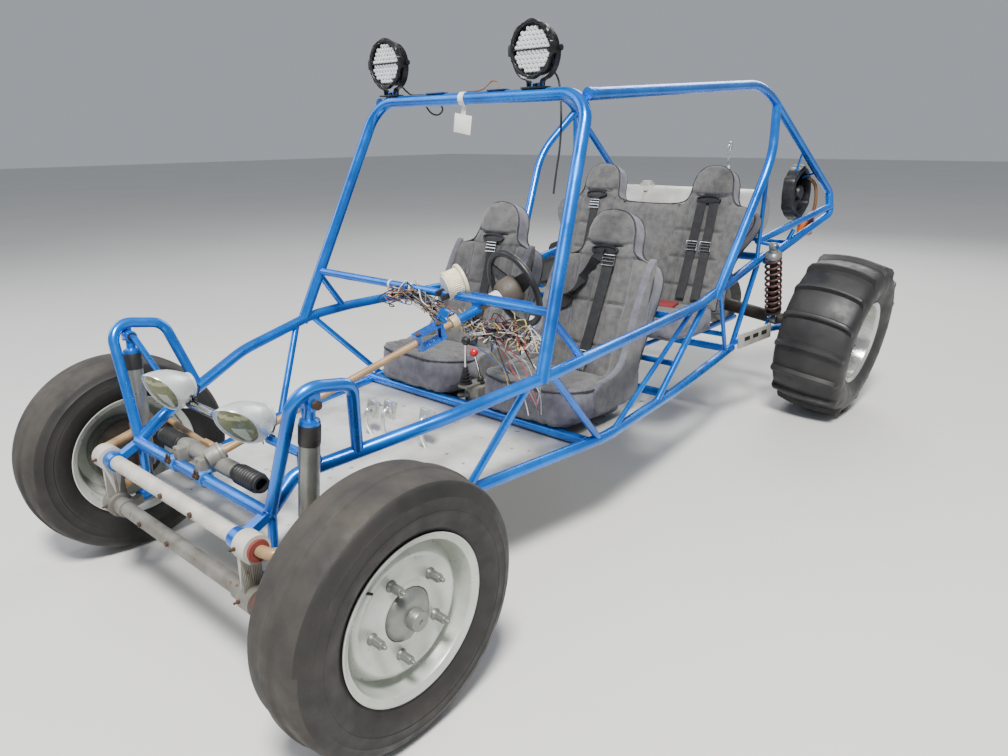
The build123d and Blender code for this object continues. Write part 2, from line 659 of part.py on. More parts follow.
with BuildPart() as knuckle:
    with BuildSketch(Plane.XY.offset(barrel_low)):
        with Locations((KINGPIN_X, FRONT_AXLE_Y)):
            Circle(ARM_EYE_R)
    extrude(amount=barrel_high - barrel_low)
    with BuildSketch(spindle_plane(boss_x)):
        Circle(SPINDLE_R)
    extrude(amount=FRONT_WHEEL_X + DISC_FACE - 2 - boss_x)
    with BuildSketch(spindle_plane(KINGPIN_X)):
        Circle(SPINDLE_ROOT_R)
    extrude(amount=boss_x - KINGPIN_X)
    with BuildSketch(spindle_plane(boss_x)):
        Circle(30)
    extrude(amount=FRONT_WHEEL_X + drum_back - 5 - boss_x)
    with BuildSketch(spindle_plane(FRONT_WHEEL_X + drum_back - 9)):
        Circle(DRUM_R)
    extrude(amount=4)
    with BuildSketch(Plane.XY.offset(barrel_low - 1)):
        with Locations((KINGPIN_X, FRONT_AXLE_Y)):
            Circle(KINGPIN_R + SPINDLE_FIT)
    extrude(amount=barrel_high - barrel_low + 2, mode=Mode.SUBTRACT)
with BuildPart() as knuckle_left:
    add(knuckle.part)
write(knuckle_left, "knuckle_left")

# The right knuckle carries the steering arm, which ends under the tie rod's ball
arm_pad_z = TIE_OUTER.Z - BALL_R - BALL_GAP
arm_rod = rod([Vector(-KINGPIN_X + 6, FRONT_AXLE_Y + 18, barrel_high - 22),
               Vector(TIE_OUTER.X - 14, TIE_OUTER.Y - 20, arm_pad_z - 12),
               Vector(TIE_OUTER.X, TIE_OUTER.Y, arm_pad_z - 11)], 10.0, [10.0])
with BuildPart() as knuckle_right:
    add(mirrored(knuckle.part))
    add(arm_rod)
    with BuildSketch(Plane.XY.offset(arm_pad_z - 22)):
        with Locations((TIE_OUTER.X, TIE_OUTER.Y)):
            Circle(BALL_R)
    extrude(amount=22)
    with BuildSketch(Plane.XY.offset(barrel_low - 1)):
        with Locations((-KINGPIN_X, FRONT_AXLE_Y)):
            Circle(KINGPIN_R + SPINDLE_FIT)
    extrude(amount=barrel_high - barrel_low + 2, mode=Mode.SUBTRACT)
write(knuckle_right, "knuckle_right")

# Tie rod with its ball at the wheel and an eye at the rack's slider
tie_body = rod([TIE_OUTER, TIE_INNER + Vector(-10, TIE_R - TIE_BLOCK_HALF + 1, 0)], TIE_R)
with BuildPart() as tie_rod:
    add(tie_body)
    with BuildSketch(Plane.XY.offset(TIE_OUTER.Z - BALL_R)):
        with Locations((TIE_OUTER.X, TIE_OUTER.Y)):
            Circle(BALL_R)
    extrude(amount=2 * BALL_R)
    with BuildSketch(Plane.XZ.offset(-TIE_INNER.Y)):
        with Locations((TIE_INNER.X, TIE_INNER.Z)):
            RectangleRounded(56, 34, 8)
    extrude(amount=TIE_BLOCK_HALF, both=True)
write(tie_rod, "tie_rod")

# Rack housing with its pinion tower, and the two bellows
rack_mid = at(0, RACK_Y_BACK, RACK_Z)
column_dir = (WHEEL_HUB - PINION).normalized()
with BuildPart() as rack_housing:
    with BuildSketch(Plane.YZ):
        with Locations((rack_mid.Y, rack_mid.Z)):
            Circle(RACK_R)
    extrude(amount=RACK_HALF, both=True)
    with BuildSketch(Plane(origin=PINION - column_dir * 50, z_dir=column_dir)):
        Circle(27)
    extrude(amount=49)
    with BuildSketch(Plane.XZ.offset(-rack_mid.Y)):
        with Locations((-96, rack_mid.Z), (24, rack_mid.Z - 4)):
            Rectangle(30, 2 * RACK_R + 8)
    extrude(amount=RACK_R + 6)
    add(cross_tubes.part, mode=Mode.SUBTRACT)
write(rack_housing, "rack_housing")

bellows_profile = [(0, 0), (0, 22)]
for fold in range(BELLOWS_FOLDS):
    start = fold * BELLOWS_LEN / BELLOWS_FOLDS
    bellows_profile += [(start + 4, 28), (start + BELLOWS_LEN / BELLOWS_FOLDS - 2, 21)]
bellows_profile += [(BELLOWS_LEN, 26), (BELLOWS_LEN, 16), (BELLOWS_LEN - 30, 16), (BELLOWS_LEN - 30, 0)]
with BuildPart() as rack_bellows:
    add(ring(bellows_profile, rack_mid + Vector(RACK_HALF, 0, 0), Vector(1, 0, 0)))
    mirror(about=Plane.YZ)
write(rack_bellows, "rack_bellows")

# Steering shaft from the pinion to the wheel, with its open yoke
shaft_len = (WHEEL_HUB - PINION).length
shaft_frame = Plane(origin=PINION, z_dir=column_dir)
with BuildPart() as yoke:
    with BuildSketch(shaft_frame.offset(YOKE_START)):
        Rectangle(YOKE_W, YOKE_W - 8)
    extrude(amount=YOKE_LEN)
    with BuildSketch(shaft_frame.offset(YOKE_START + 10)):
        Rectangle(YOKE_W - 10, YOKE_W)
    extrude(amount=YOKE_LEN - 20, mode=Mode.SUBTRACT)
with BuildPart() as steering_shaft:
    with BuildSketch(shaft_frame):
        Circle(SHAFT_R)
    extrude(amount=YOKE_START + 4)
    with BuildSketch(shaft_frame.offset(YOKE_START + YOKE_LEN - 4)):
        Circle(SHAFT_R)
    extrude(amount=shaft_len - YOKE_START - YOKE_LEN - 16)
    add(yoke.part)
write(steering_shaft, "steering_shaft")

# Steering wheel: ring, three spokes and hub, square to the column
wheel_frame = Plane(origin=WHEEL_HUB, z_dir=column_dir)
with BuildPart() as steering_wheel:
    with BuildSketch(Plane(origin=WHEEL_HUB + wheel_frame.x_dir * STEER_RING_R,
                           z_dir=column_dir.cross(wheel_frame.x_dir))):
        Circle(STEER_GRIP_R)
    revolve(axis=Axis(WHEEL_HUB, column_dir))
    with BuildSketch(wheel_frame.offset(-3)):
        with PolarLocations(STEER_RING_R / 2, 3, start_angle=90):
            Rectangle(STEER_RING_R, 26)
    extrude(amount=5)
    with BuildSketch(wheel_frame.offset(-20)):
        Circle(34)
    extrude(amount=36, taper=8)
    add(steering_shaft.part, mode=Mode.SUBTRACT)
write(steering_wheel, "steering_wheel")

# Fixed column tube under the dash
dash_cross = PINION + column_dir * ((DASH_END.Y - PINION.Y) / column_dir.Y)
with BuildPart() as column_tube:
    with BuildSketch(shaft_frame.offset(COLUMN_START)):
        Circle(SHAFT_R + COLUMN_GAP + COLUMN_WALL)
        Circle(SHAFT_R + COLUMN_GAP, mode=Mode.SUBTRACT)
    extrude(amount=COLUMN_LEN)
    with BuildSketch(Plane.XY.offset(dash_cross.Z)):
        with Locations((dash_cross.X, dash_cross.Y)):
            Rectangle(26, 14)
    extrude(amount=DASH_END.Z - dash_cross.Z)
    with BuildSketch(shaft_frame.offset(COLUMN_START - 20)):
        Circle(SHAFT_R + COLUMN_GAP)
    extrude(amount=COLUMN_LEN + 40, mode=Mode.SUBTRACT)
    add(cross_tubes.part, mode=Mode.SUBTRACT)
write(column_tube, "column_tube")

# Seats: a deep cushion and a high back with its own headrest
def seat_back(width, base, lean, height, head_width):
    """A high seat back standing on its base, leaning rearward by an angle."""
    shoulder = height - HEAD_H
    front = Plane(origin=base, x_dir=(1, 0, 0), z_dir=Vector(0, -cos(radians(lean)), sin(radians(lean))))
    with BuildPart() as back:
        with BuildSketch(front.offset(-BACK_THICK)):
            with BuildLine():
                Polyline((-width * 0.42, 0), (-width / 2, shoulder * 0.75), (-width * 0.44, shoulder - 20),
                         (-head_width / 2, shoulder), (-head_width / 2 + 6, height - 90))
                ThreePointArc((-head_width / 2 + 6, height - 90), (0, height),
                              (head_width / 2 - 6, height - 90))
                Polyline((head_width / 2 - 6, height - 90), (head_width / 2, shoulder),
                         (width * 0.44, shoulder - 20), (width / 2, shoulder * 0.75), (width * 0.42, 0),
                         (-width * 0.42, 0))
            make_face()
        extrude(amount=BACK_THICK)
    return back.part


def seat_cushion(width, front_edge, rear_edge, low, high, rear_high):
    """A seat cushion with its top falling towards the back."""
    with BuildPart() as cushion:
        with BuildSketch(Plane.YZ.offset(-width / 2)):
            with BuildLine():
                Polyline((front_edge + 30, low), (front_edge, low + 40), (front_edge + 10, high - 20),
                         (front_edge + 50, high), (rear_edge, rear_high), (rear_edge, low), close=True)
            make_face()
        extrude(amount=width)
    return cushion.part


seat_low = SEAT_TUBE.Z + CROSS_R + SEAT_GAP
front_back_shape = seat_back(SEAT_W, SEAT_BASE, SEAT_LEAN, SEAT_BACK_H, HEAD_W)
front_cushion_shape = seat_cushion(SEAT_W - 60, SEAT_NOSE_Y, SEAT_BASE.Y + 60, seat_low, 545, 500)
with BuildPart() as seat_backs:
    for x in (-SEAT_X, SEAT_X):
        add(front_back_shape.moved(Location((x, 0, 0))))
write(seat_backs, "seat_backs")
with BuildPart() as seat_cushions:
    for x in (-SEAT_X, SEAT_X):
        add(front_cushion_shape.moved(Location((x, 0, 0))))
    add(seat_backs.part, mode=Mode.SUBTRACT)
write(seat_cushions, "seat_cushions")

# Rear bench: one wide back with two headrests, and one cushion, between the side braces
front_brace, rear_brace = brace_runs[4], brace_runs[5]
bench_low_half = at_height(rear_brace, BENCH_LOW_Z).X - THIN_R - BENCH_CLEAR
bench_plane = Plane(origin=REAR_SEAT_BASE, x_dir=(1, 0, 0),
                    z_dir=Vector(0, -cos(radians(SEAT_LEAN)), sin(radians(SEAT_LEAN))))
bench_shoulder = SEAT_BACK_H - HEAD_H
with BuildPart() as bench_back:
    with BuildSketch(bench_plane.offset(-BACK_THICK)):
        with BuildLine():
            Polyline((-bench_low_half, 0), (-bench_low_half, 300), (-BENCH_HALF, 400),
                     (-BENCH_HALF + 26, bench_shoulder - 20), (BENCH_HALF - 26, bench_shoulder - 20),
                     (BENCH_HALF, 400), (bench_low_half, 300), (bench_low_half, 0), close=True)
        make_face()
        with Locations((REAR_SEAT_X, bench_shoulder + 10), (-REAR_SEAT_X, bench_shoulder + 10)):
            Rectangle(HEAD_W - 20, 110)
        with Locations((REAR_SEAT_X, SEAT_BACK_H - HEAD_W / 2), (-REAR_SEAT_X, SEAT_BACK_H - HEAD_W / 2)):
            Circle(HEAD_W / 2)
    extrude(amount=BACK_THICK)
write(bench_back, "bench_back")

bench_shape = seat_cushion(2 * bench_low_half, BENCH_NOSE_Y, REAR_SEAT_BASE.Y + 60, BENCH_LOW_Z, 640, 610)
with BuildPart() as bench_cushion:
    add(bench_shape)
    add(bench_back.part, mode=Mode.SUBTRACT)
write(bench_cushion, "bench_cushion")

# Tubes under the bench, and two bearers between them
bench_tube_z = BENCH_LOW_Z - BENCH_TUBE_R - SEAT_GAP
bench_front, bench_rear = at_height(front_brace, bench_tube_z), at_height(rear_brace, bench_tube_z)
bench_rods = [rod([end, flip(end)], BENCH_TUBE_R) for end in (bench_front, bench_rear)]
bench_rods += [rod([Vector(x, bench_front.Y, bench_tube_z), Vector(x, bench_rear.Y, bench_tube_z)], THIN_R)
               for x in (-BEARER_X, BEARER_X)]
with BuildPart() as bench_frame:
    add(bench_rods)
    for joined in (side_braces, lower_rails):
        add(joined.part, mode=Mode.SUBTRACT)
write(bench_frame, "bench_frame")

# Fuel tank behind the rear seats, on a cradle tube
tank_place = at(0, TANK_BACK, TANK_Z)
with BuildPart() as fuel_tank:
    with BuildSketch(Plane.YZ.offset(-TANK_HALF)):
        with Locations((tank_place.Y, tank_place.Z)):
            Circle(TANK_R)
    extrude(amount=2 * TANK_HALF)
    fillet(fuel_tank.edges().filter_by(GeomType.CIRCLE), TANK_FILLET)
    with BuildSketch(Plane.XY.offset(TANK_Z + TANK_R - 6)):
        with Locations((CAP_X, tank_place.Y)):
            RectangleRounded(CAP_W, CAP_W, 14)
    extrude(amount=18)
    with BuildSketch(Plane.XY.offset(TANK_Z + TANK_R + 12)):
        with Locations((CAP_X, tank_place.Y)):
            Circle(CAP_W / 2 - 4)
    extrude(amount=10)
write(fuel_tank, "fuel_tank")

# Transaxle on two horns, with its hanging axle tubes
axle_dir = Vector(cos(radians(REAR_CAMBER)), 0, -sin(radians(REAR_CAMBER)))
axle_start = REAR_HUB - axle_dir * ((REAR_WHEEL_X - AXLE_ROOT_X) / axle_dir.X)
axle_end = REAR_HUB + axle_dir * (drum_back - 5)
with BuildPart() as transaxle:
    with BuildSketch(Plane.XZ.offset(-axle_start.Y + 330)):
        with Locations((0, axle_start.Z)):
            Circle(62)
    with BuildSketch(Plane.XZ.offset(-axle_start.Y + 90)):
        with Locations((0, axle_start.Z)):
            Circle(112)
    loft()
    with BuildSketch(Plane.XZ.offset(-axle_start.Y + 90)):
        with Locations((0, axle_start.Z)):
            Circle(112)
    extrude(amount=-180)
    with BuildSketch(Plane.XZ.offset(-axle_start.Y - 90)):
        with Locations((0, axle_start.Z)):
            Circle(112)
    with BuildSketch(Plane.XZ.offset(-axle_start.Y - 190)):
        with Locations((0, axle_start.Z)):
            Circle(168)
    loft()
    with BuildSketch(Plane.YZ):
        with Locations((axle_start.Y, axle_start.Z)):
            Circle(96)
    extrude(amount=AXLE_ROOT_X, both=True)
write(transaxle, "transaxle")

horn_rod = rod([at(112, 2300, 410), axle_start + Vector(-24, -340, -119), axle_start + Vector(-10, 180, -109)],
               LEG_R, [200.0])
with BuildPart() as transaxle_horns:
    add(horn_rod)
    mirror(about=Plane.YZ)
    add(cross_tubes.part, mode=Mode.SUBTRACT)
    add(transaxle.part, mode=Mode.SUBTRACT)
write(transaxle_horns, "transaxle_horns")

axle_rod = rod([axle_start, axle_end], AXLE_R)
plate_turned = ring([(0, 0), (0, DRUM_R), (4, DRUM_R), (4, 0)], axle_end, axle_dir)
spindle_turned = rod([axle_end, REAR_HUB + axle_dir * (DISC_FACE - 2)], SPINDLE_R)
with BuildPart() as swing_axles:
    add(axle_rod)
    add(plate_turned)
    add(spindle_turned)
    mirror(about=Plane.YZ)
    add(transaxle.part, mode=Mode.SUBTRACT)
write(swing_axles, "swing_axles")

arm_end = axle_start + axle_dir * 400 + Vector(0, -AXLE_R, 0)
stud_in = COIL_FOOT + Vector(-SHOCK_EYE_W / 2 - 14, 0, 0)
trail_rod = rod([at(478, 2318, 440), at(528, 2600, 455), arm_end], LEG_R, [60.0])
spring_lug_rod = rod([at(514, 2590, 450), stud_in + Vector(6, 0, 6)], BOLT_R)
spring_stud_rod = rod([stud_in, COIL_FOOT + Vector(SHOCK_EYE_W / 2 + 2, 0, 0)], BOLT_R)
with BuildPart() as rear_arms:
    add(trail_rod)
    add(spring_lug_rod)
    add(spring_stud_rod)
    mirror(about=Plane.YZ)
    for joined in (lower_rails, cross_tubes, side_braces, swing_axles):
        add(joined.part, mode=Mode.SUBTRACT)
write(rear_arms, "rear_arms")

# Rear coil-overs: damper and spring on one line, each turn a ridge round the damper
coil_dir = (COIL_TOP - COIL_FOOT).normalized()
coil_len = (COIL_TOP - COIL_FOOT).length
coil_pitch = (coil_len - 58 - COIL_START) / COIL_TURNS
damper_profile = [(0, 0), (0, 12), (COIL_START - 8, 12), (COIL_START - 8, COIL_R - 2), (COIL_START, COIL_R - 2)]
for turn in range(COIL_TURNS):
    turn_start = COIL_START + turn * coil_pitch
    damper_profile += [(turn_start + 4, DAMPER_R), (turn_start + coil_pitch / 2 - 6, DAMPER_R),
                       (turn_start + coil_pitch / 2 - 4, COIL_R), (turn_start + coil_pitch / 2 + 4, COIL_R),
                       (turn_start + coil_pitch / 2 + 6, DAMPER_R)]
damper_profile += [(coil_len - 54, DAMPER_R), (coil_len - 54, 36), (coil_len - 36, 30), (coil_len - 36, 10),
                   (coil_len, 10), (coil_len, 0)]
damper_turned = ring(damper_profile, COIL_FOOT, coil_dir)
with BuildPart() as coil_overs:
    add(damper_turned)
    for place in (COIL_TOP, COIL_FOOT):
        with BuildSketch(Plane.YZ.offset(place.X)):
            with Locations((place.Y, place.Z)):
                Circle(SHOCK_EYE_R)
        extrude(amount=SHOCK_EYE_W / 2, both=True)
    mirror(about=Plane.YZ)
    for joined in (rear_arms, tail_tubes, roof_rails):
        add(joined.part, mode=Mode.SUBTRACT)
write(coil_overs, "coil_overs")

# Headlamps on their bar
bar_end = on_line(upper_line, LAMP_BAR_BACK)
bar_left = Vector(bar_end.X, bar_end.Y, LAMP_BAR_Z)
bar_rod = rod([bar_left, flip(bar_left)], BRACE_R)
bar_drop_rod = rod([bar_left + Vector(-4, 0, BRACE_R), bar_end - Vector(4, 0, 0)], THIN_R)
with BuildPart() as lamp_bar:
    add(bar_drop_rod)
    mirror(about=Plane.YZ)
    add(bar_rod)
    for face, slant, turn in HEADLAMPS:
        seat = face + LAMP_TAIL * ((bar_end.Y - face.Y) / LAMP_TAIL.Y)
        with BuildSketch(Plane.XY.offset(LAMP_BAR_Z)):
            with Locations((seat.X, bar_end.Y)):
                Circle(8)
        extrude(amount=seat.Z - LAMP_TAIL_R + LAMP_SEAT - LAMP_BAR_Z)
    add(upper_rails.part, mode=Mode.SUBTRACT)
    add(shock_hoops.part, mode=Mode.SUBTRACT)
write(lamp_bar, "lamp_bar")

# Bullet shells: each slanted oval face runs back to a small round tail
def lamp_plane(origin, slant, turn):
    """A plane that looks forward, down by the slant and left by the turn."""
    out = Vector(sin(radians(turn)), -cos(radians(turn)), 0)
    look = out * cos(radians(slant)) - Vector(0, 0, sin(radians(slant)))
    return Plane(origin=origin, x_dir=(cos(radians(turn)), sin(radians(turn)), 0), z_dir=look)


with BuildPart() as headlamps:
    for face, slant, turn in HEADLAMPS:
        face_plane = lamp_plane(face, slant, turn)
        with BuildPart(mode=Mode.ADD):
            with BuildSketch(face_plane):
                Ellipse(LAMP_HALF_W, LAMP_HALF_H)
            with BuildSketch(lamp_plane(face + LAMP_TAIL * 0.5, slant / 3, turn * 0.6)):
                Ellipse(LAMP_HALF_W * 0.88, LAMP_HALF_H * 0.84)
            with BuildSketch(lamp_plane(face + LAMP_TAIL, 0, turn * 0.4)):
                Circle(LAMP_TAIL_R)
            loft()
            with BuildSketch(face_plane):
                Ellipse(LAMP_HALF_W - LAMP_RIM, LAMP_HALF_H - LAMP_RIM)
            extrude(amount=-LAMP_RECESS, mode=Mode.SUBTRACT)
    add(lamp_bar.part, mode=Mode.SUBTRACT)
write(headlamps, "headlamps")

# Round work lamps on the hoop, each in a U bracket
bracket_half = ROOF_LAMP_R + 6
bracket_foot = HOOP_TOP.Z + HOOP_R - 4
lamp_shell = ring([(-ROOF_LAMP_REAR, 0), (-ROOF_LAMP_REAR, 60), (-ROOF_LAMP_REAR + 8, 72), (12, 76),
                   (12, ROOF_LAMP_R), (30, ROOF_LAMP_R), (30, 76), (24, 74), (24, 0)],
                  Vector(0, HOOP_TOP.Y, ROOF_LAMP_Z), Vector(0, -1, 0))
with BuildPart() as roof_lamps:
    for x in ROOF_LAMPS_X:
        add(lamp_shell.moved(Location((x, 0, 0))))
        with BuildSketch(Plane.XZ.offset(-HOOP_TOP.Y - BRACKET_W / 2)):
            with Locations((x, bracket_foot)):
                Rectangle(2 * bracket_half, ROOF_LAMP_Z + 10 - bracket_foot, align=(Align.CENTER, Align.MIN))
            with Locations((x, bracket_foot + BRACKET_WALL)):
                Rectangle(2 * (bracket_half - BRACKET_WALL), ROOF_LAMP_Z, align=(Align.CENTER, Align.MIN),
                          mode=Mode.SUBTRACT)
        extrude(amount=BRACKET_W)
        with BuildSketch(Plane.YZ.offset(x - bracket_half)):
            with Locations((HOOP_TOP.Y, ROOF_LAMP_Z)):
                Circle(6)
        extrude(amount=2 * bracket_half)
    add(front_hoop.part, mode=Mode.SUBTRACT)
write(roof_lamps, "roof_lamps")

# The left work lamp's lead, hanging free behind the hoop
lead_start = Vector(ROOF_LAMPS_X[0] + 15, HOOP_TOP.Y + ROOF_LAMP_REAR, ROOF_LAMP_Z - 53)
lead_line = [lead_start, lead_start + Vector(0, 60, 0), at(335, 1122, 1478), at(353, 1096, 1345),
             at(344, 1086, 1262), at(338, 1081, 1189)]
lead_bends = []
for before, corner, after in zip(lead_line, lead_line[1:], lead_line[2:]):
    turn = (corner - before).get_angle(after - corner)
    shorter = min((corner - before).length, (after - corner).length)
    lead_bends.append(0.45 * shorter / tan(radians(turn / 2)))
print("lead radii", [round(bend, 1) for bend in lead_bends])
with BuildPart() as lamp_lead:
    add(rod(lead_line, LEAD_R, lead_bends))
write(lamp_lead, "lamp_lead")

# Sheet panel along the back of the dash tube, and the gauge in its can beside the column
with BuildPart() as dash_panel:
    with BuildSketch(Plane.XZ.offset(-DASH_END.Y - DASH_R + PANEL_SEAT - PANEL_WALL)) as panel_face:
        with Locations((PANEL_START, DASH_END.Z - PANEL_DROP)):
            Rectangle(PANEL_LEN, PANEL_H, align=(Align.MIN, Align.MIN))
        chamfer(panel_face.vertices().group_by(Axis.Y)[-1].sort_by(Axis.X)[-1], PANEL_CORNER)
    extrude(amount=PANEL_WALL)
    add(cross_tubes.part, mode=Mode.SUBTRACT)
write(dash_panel, "dash_panel")

gauge_turned = ring([(-30, 0), (-30, GAUGE_R + 8), (-27, GAUGE_R + 8), (-27, GAUGE_R), (26, GAUGE_R), (26, 0)],
                    GAUGE, Vector(0, -1, 0))
with BuildPart() as gauge:
    add(gauge_turned)
    add(cross_tubes.part, mode=Mode.SUBTRACT)
write(gauge, "gauge")

# Cooling fan in its shroud on two bars, and the canister, both hung from the tail on the left
fan_hangers = [rod([on_line(roof_line, roof_back), at(FAN.X, fan_back, FAN.Z + 70)], 6.0)
               for roof_back, fan_back in ((2700, 2750), (2860, 2862))]
with BuildPart() as cooling_fan:
    with BuildSketch(Plane.YZ.offset(FAN.X - FAN_DEEP / 2)):
        with Locations((FAN.Y, FAN.Z)):
            Circle(FAN_R)
    extrude(amount=FAN_DEEP)
    add(fan_hangers)
    add(roof_rails.part, mode=Mode.SUBTRACT)
write(cooling_fan, "cooling_fan")

canister_hanger = rod([CANISTER + Vector(0, 0, 14), on_line(TAIL_RUN, 2920)], BOLT_R)
with BuildPart() as canister:
    with BuildSketch(Plane.XY.offset(CANISTER.Z - CANISTER_H / 2)):
        with Locations((CANISTER.X, CANISTER.Y)):
            Circle(CANISTER_R)
    extrude(amount=CANISTER_H)
    add(canister_hanger)
    add(roof_rails.part, mode=Mode.SUBTRACT)
write(canister, "canister")

# Shifter with its two levers, and the pedals
with BuildPart() as shifter:
    with BuildSketch(Plane.XY.offset(FLOOR_Z)):
        with Locations((SHIFTER.X, SHIFTER.Y)):
            Rectangle(70, 110)
    extrude(amount=SHIFTER_H)
    for x, y, tall in SHIFT_LEVERS:
        with BuildSketch(Plane.XY.offset(FLOOR_Z + SHIFTER_H)):
            with Locations((SHIFTER.X + x, SHIFTER.Y + y)):
                Circle(17)
        extrude(amount=34, taper=18)
        with BuildSketch(Plane.XY.offset(FLOOR_Z + SHIFTER_H - 5)):
            with Locations((SHIFTER.X + x, SHIFTER.Y + y)):
                Circle(6)
        extrude(amount=tall - SHIFTER_H + 5)
        with Locations((SHIFTER.X + x, SHIFTER.Y + y, FLOOR_Z + tall)):
            Sphere(19)
write(shifter, "shifter")

with BuildPart() as pedals:
    for x, y, tall, wide in PEDALS:
        with BuildSketch(Plane.XY.offset(FLOOR_Z)):
            with Locations((x, FRONT_AXLE_Y + y)):
                Rectangle(22, 14)
        extrude(amount=tall)
        with BuildSketch(Plane.XY.offset(FLOOR_Z + tall - 60)):
            with Locations((x, FRONT_AXLE_Y + y + 12)):
                Rectangle(wide, 12)
        extrude(amount=64)
write(pedals, "pedals")
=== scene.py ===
# Looks of a four-seat tube-frame sand rail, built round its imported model. Metres, +Z up, the nose along -Y.
import json
import math
import random

import bmesh
import bpy
import numpy as np
from mathutils import Matrix, Vector
from mathutils.bvhtree import BVHTree


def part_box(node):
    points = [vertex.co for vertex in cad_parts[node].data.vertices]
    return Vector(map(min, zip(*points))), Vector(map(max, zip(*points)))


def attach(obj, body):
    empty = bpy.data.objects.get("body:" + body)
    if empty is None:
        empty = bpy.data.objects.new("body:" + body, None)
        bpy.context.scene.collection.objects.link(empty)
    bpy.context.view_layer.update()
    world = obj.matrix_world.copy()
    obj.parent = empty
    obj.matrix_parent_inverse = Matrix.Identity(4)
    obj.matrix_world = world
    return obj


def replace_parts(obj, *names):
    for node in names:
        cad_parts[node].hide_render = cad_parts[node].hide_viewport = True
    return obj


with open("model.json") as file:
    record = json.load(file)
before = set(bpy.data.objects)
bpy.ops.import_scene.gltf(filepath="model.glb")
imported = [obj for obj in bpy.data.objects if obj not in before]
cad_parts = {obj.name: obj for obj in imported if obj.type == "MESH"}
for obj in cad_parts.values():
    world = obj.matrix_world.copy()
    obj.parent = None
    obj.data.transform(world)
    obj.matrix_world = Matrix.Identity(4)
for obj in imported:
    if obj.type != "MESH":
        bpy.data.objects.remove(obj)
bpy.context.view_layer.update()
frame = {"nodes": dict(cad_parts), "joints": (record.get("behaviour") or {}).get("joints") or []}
nodes = frame["nodes"]

# Driving places, read from the frame
MM = 0.001
AXIS = 0.0005                  # how near a turned profile comes to its axis
HOOP_BACK = 1050               # the front hoop's top tube, in millimetres behind the front axle
TANK_BACK = 2686
FRONT_AXLE = (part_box("tyre_front_left")[0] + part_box("tyre_front_left")[1]) / 2
SIDES = (("left", 1), ("right", -1))
CAMBER = {"front": math.radians(1.0), "rear": math.radians(7.5)}
joint = {entry["name"]: entry for entry in frame["joints"]}
link = bpy.context.scene.collection.objects.link


def at(x, back, z):
    """A place by its distance behind the front axle, given in millimetres."""
    return Vector((x * MM, FRONT_AXLE.y + back * MM, z * MM))


def spot(x, back, z):
    """The same place as a matrix."""
    return Matrix.Translation(at(x, back, z))


# Colours, as display values
def shade(red, green, blue):
    """A linear colour from display values of 0 to 255."""
    def linear(value):
        value /= 255.0
        return value / 12.92 if value <= 0.04045 else ((value + 0.055) / 1.055) ** 2.4
    return (linear(red), linear(green), linear(blue), 1.0)


def surface(name, colour, rough=0.5, metal=0.0, coat=0.0, second=None, mix=0.5, scale=12.0, bump=0.0,
            bump_scale=200.0, rough_spread=0.12, sheen=0.0, speck=None, speck_scale=60.0, speck_level=0.62, fade=0.7):
    """A material whose colour, roughness and relief all vary over the surface. Colours are display values."""
    colour = shade(*colour)
    second = shade(*second) if second else tuple(fade * c for c in colour[:3]) + (1.0,)
    material = bpy.data.materials.new(name)
    material.use_nodes = True
    tree = material.node_tree
    shader = tree.nodes["Principled BSDF"]
    shader.inputs["Metallic"].default_value = metal
    shader.inputs["Coat Weight"].default_value = coat
    shader.inputs["Coat Roughness"].default_value = 0.12
    shader.inputs["Sheen Weight"].default_value = sheen
    place = tree.nodes.new("ShaderNodeTexCoord")

    def cloud(size, detail=5.0):
        node = tree.nodes.new("ShaderNodeTexNoise")
        node.inputs["Scale"].default_value = size
        node.inputs["Detail"].default_value = detail
        tree.links.new(place.outputs["Object"], node.inputs["Vector"])
        return node.outputs["Fac"]

    def ramp(source, low, high, start, end):
        node = tree.nodes.new("ShaderNodeMapRange")
        node.inputs["From Min"].default_value = low
        node.inputs["From Max"].default_value = high
        node.inputs["To Min"].default_value = start
        node.inputs["To Max"].default_value = end
        tree.links.new(source, node.inputs["Value"])
        return node.outputs["Result"]

    def blend_colours(share, first, other):
        node = tree.nodes.new("ShaderNodeMix")
        node.data_type = "RGBA"
        tree.links.new(share, node.inputs["Factor"])
        for socket, value in ((node.inputs[6], first), (node.inputs[7], other)):
            if isinstance(value, tuple):
                socket.default_value = value
            else:
                tree.links.new(value, socket)
        return node.outputs[2]

    broad = cloud(scale)
    base = blend_colours(ramp(broad, 0.35, 0.68, 0.0, mix), colour, second)
    if speck:
        base = blend_colours(ramp(cloud(speck_scale, 8.0), speck_level, speck_level + 0.05, 0.0, 1.0), base,
                              shade(*speck))
    tree.links.new(base, shader.inputs["Base Color"])
    tree.links.new(ramp(cloud(scale * 3.1), 0.3, 0.7, max(rough - rough_spread, 0.03), min(rough + rough_spread, 1.0)),
                   shader.inputs["Roughness"])
    if bump:
        relief = tree.nodes.new("ShaderNodeBump")
        relief.inputs["Strength"].default_value = 1.0
        relief.inputs["Distance"].default_value = bump
        tree.links.new(cloud(bump_scale, 4.0), relief.inputs["Height"])
        tree.links.new(relief.outputs["Normal"], shader.inputs["Normal"])
    return material


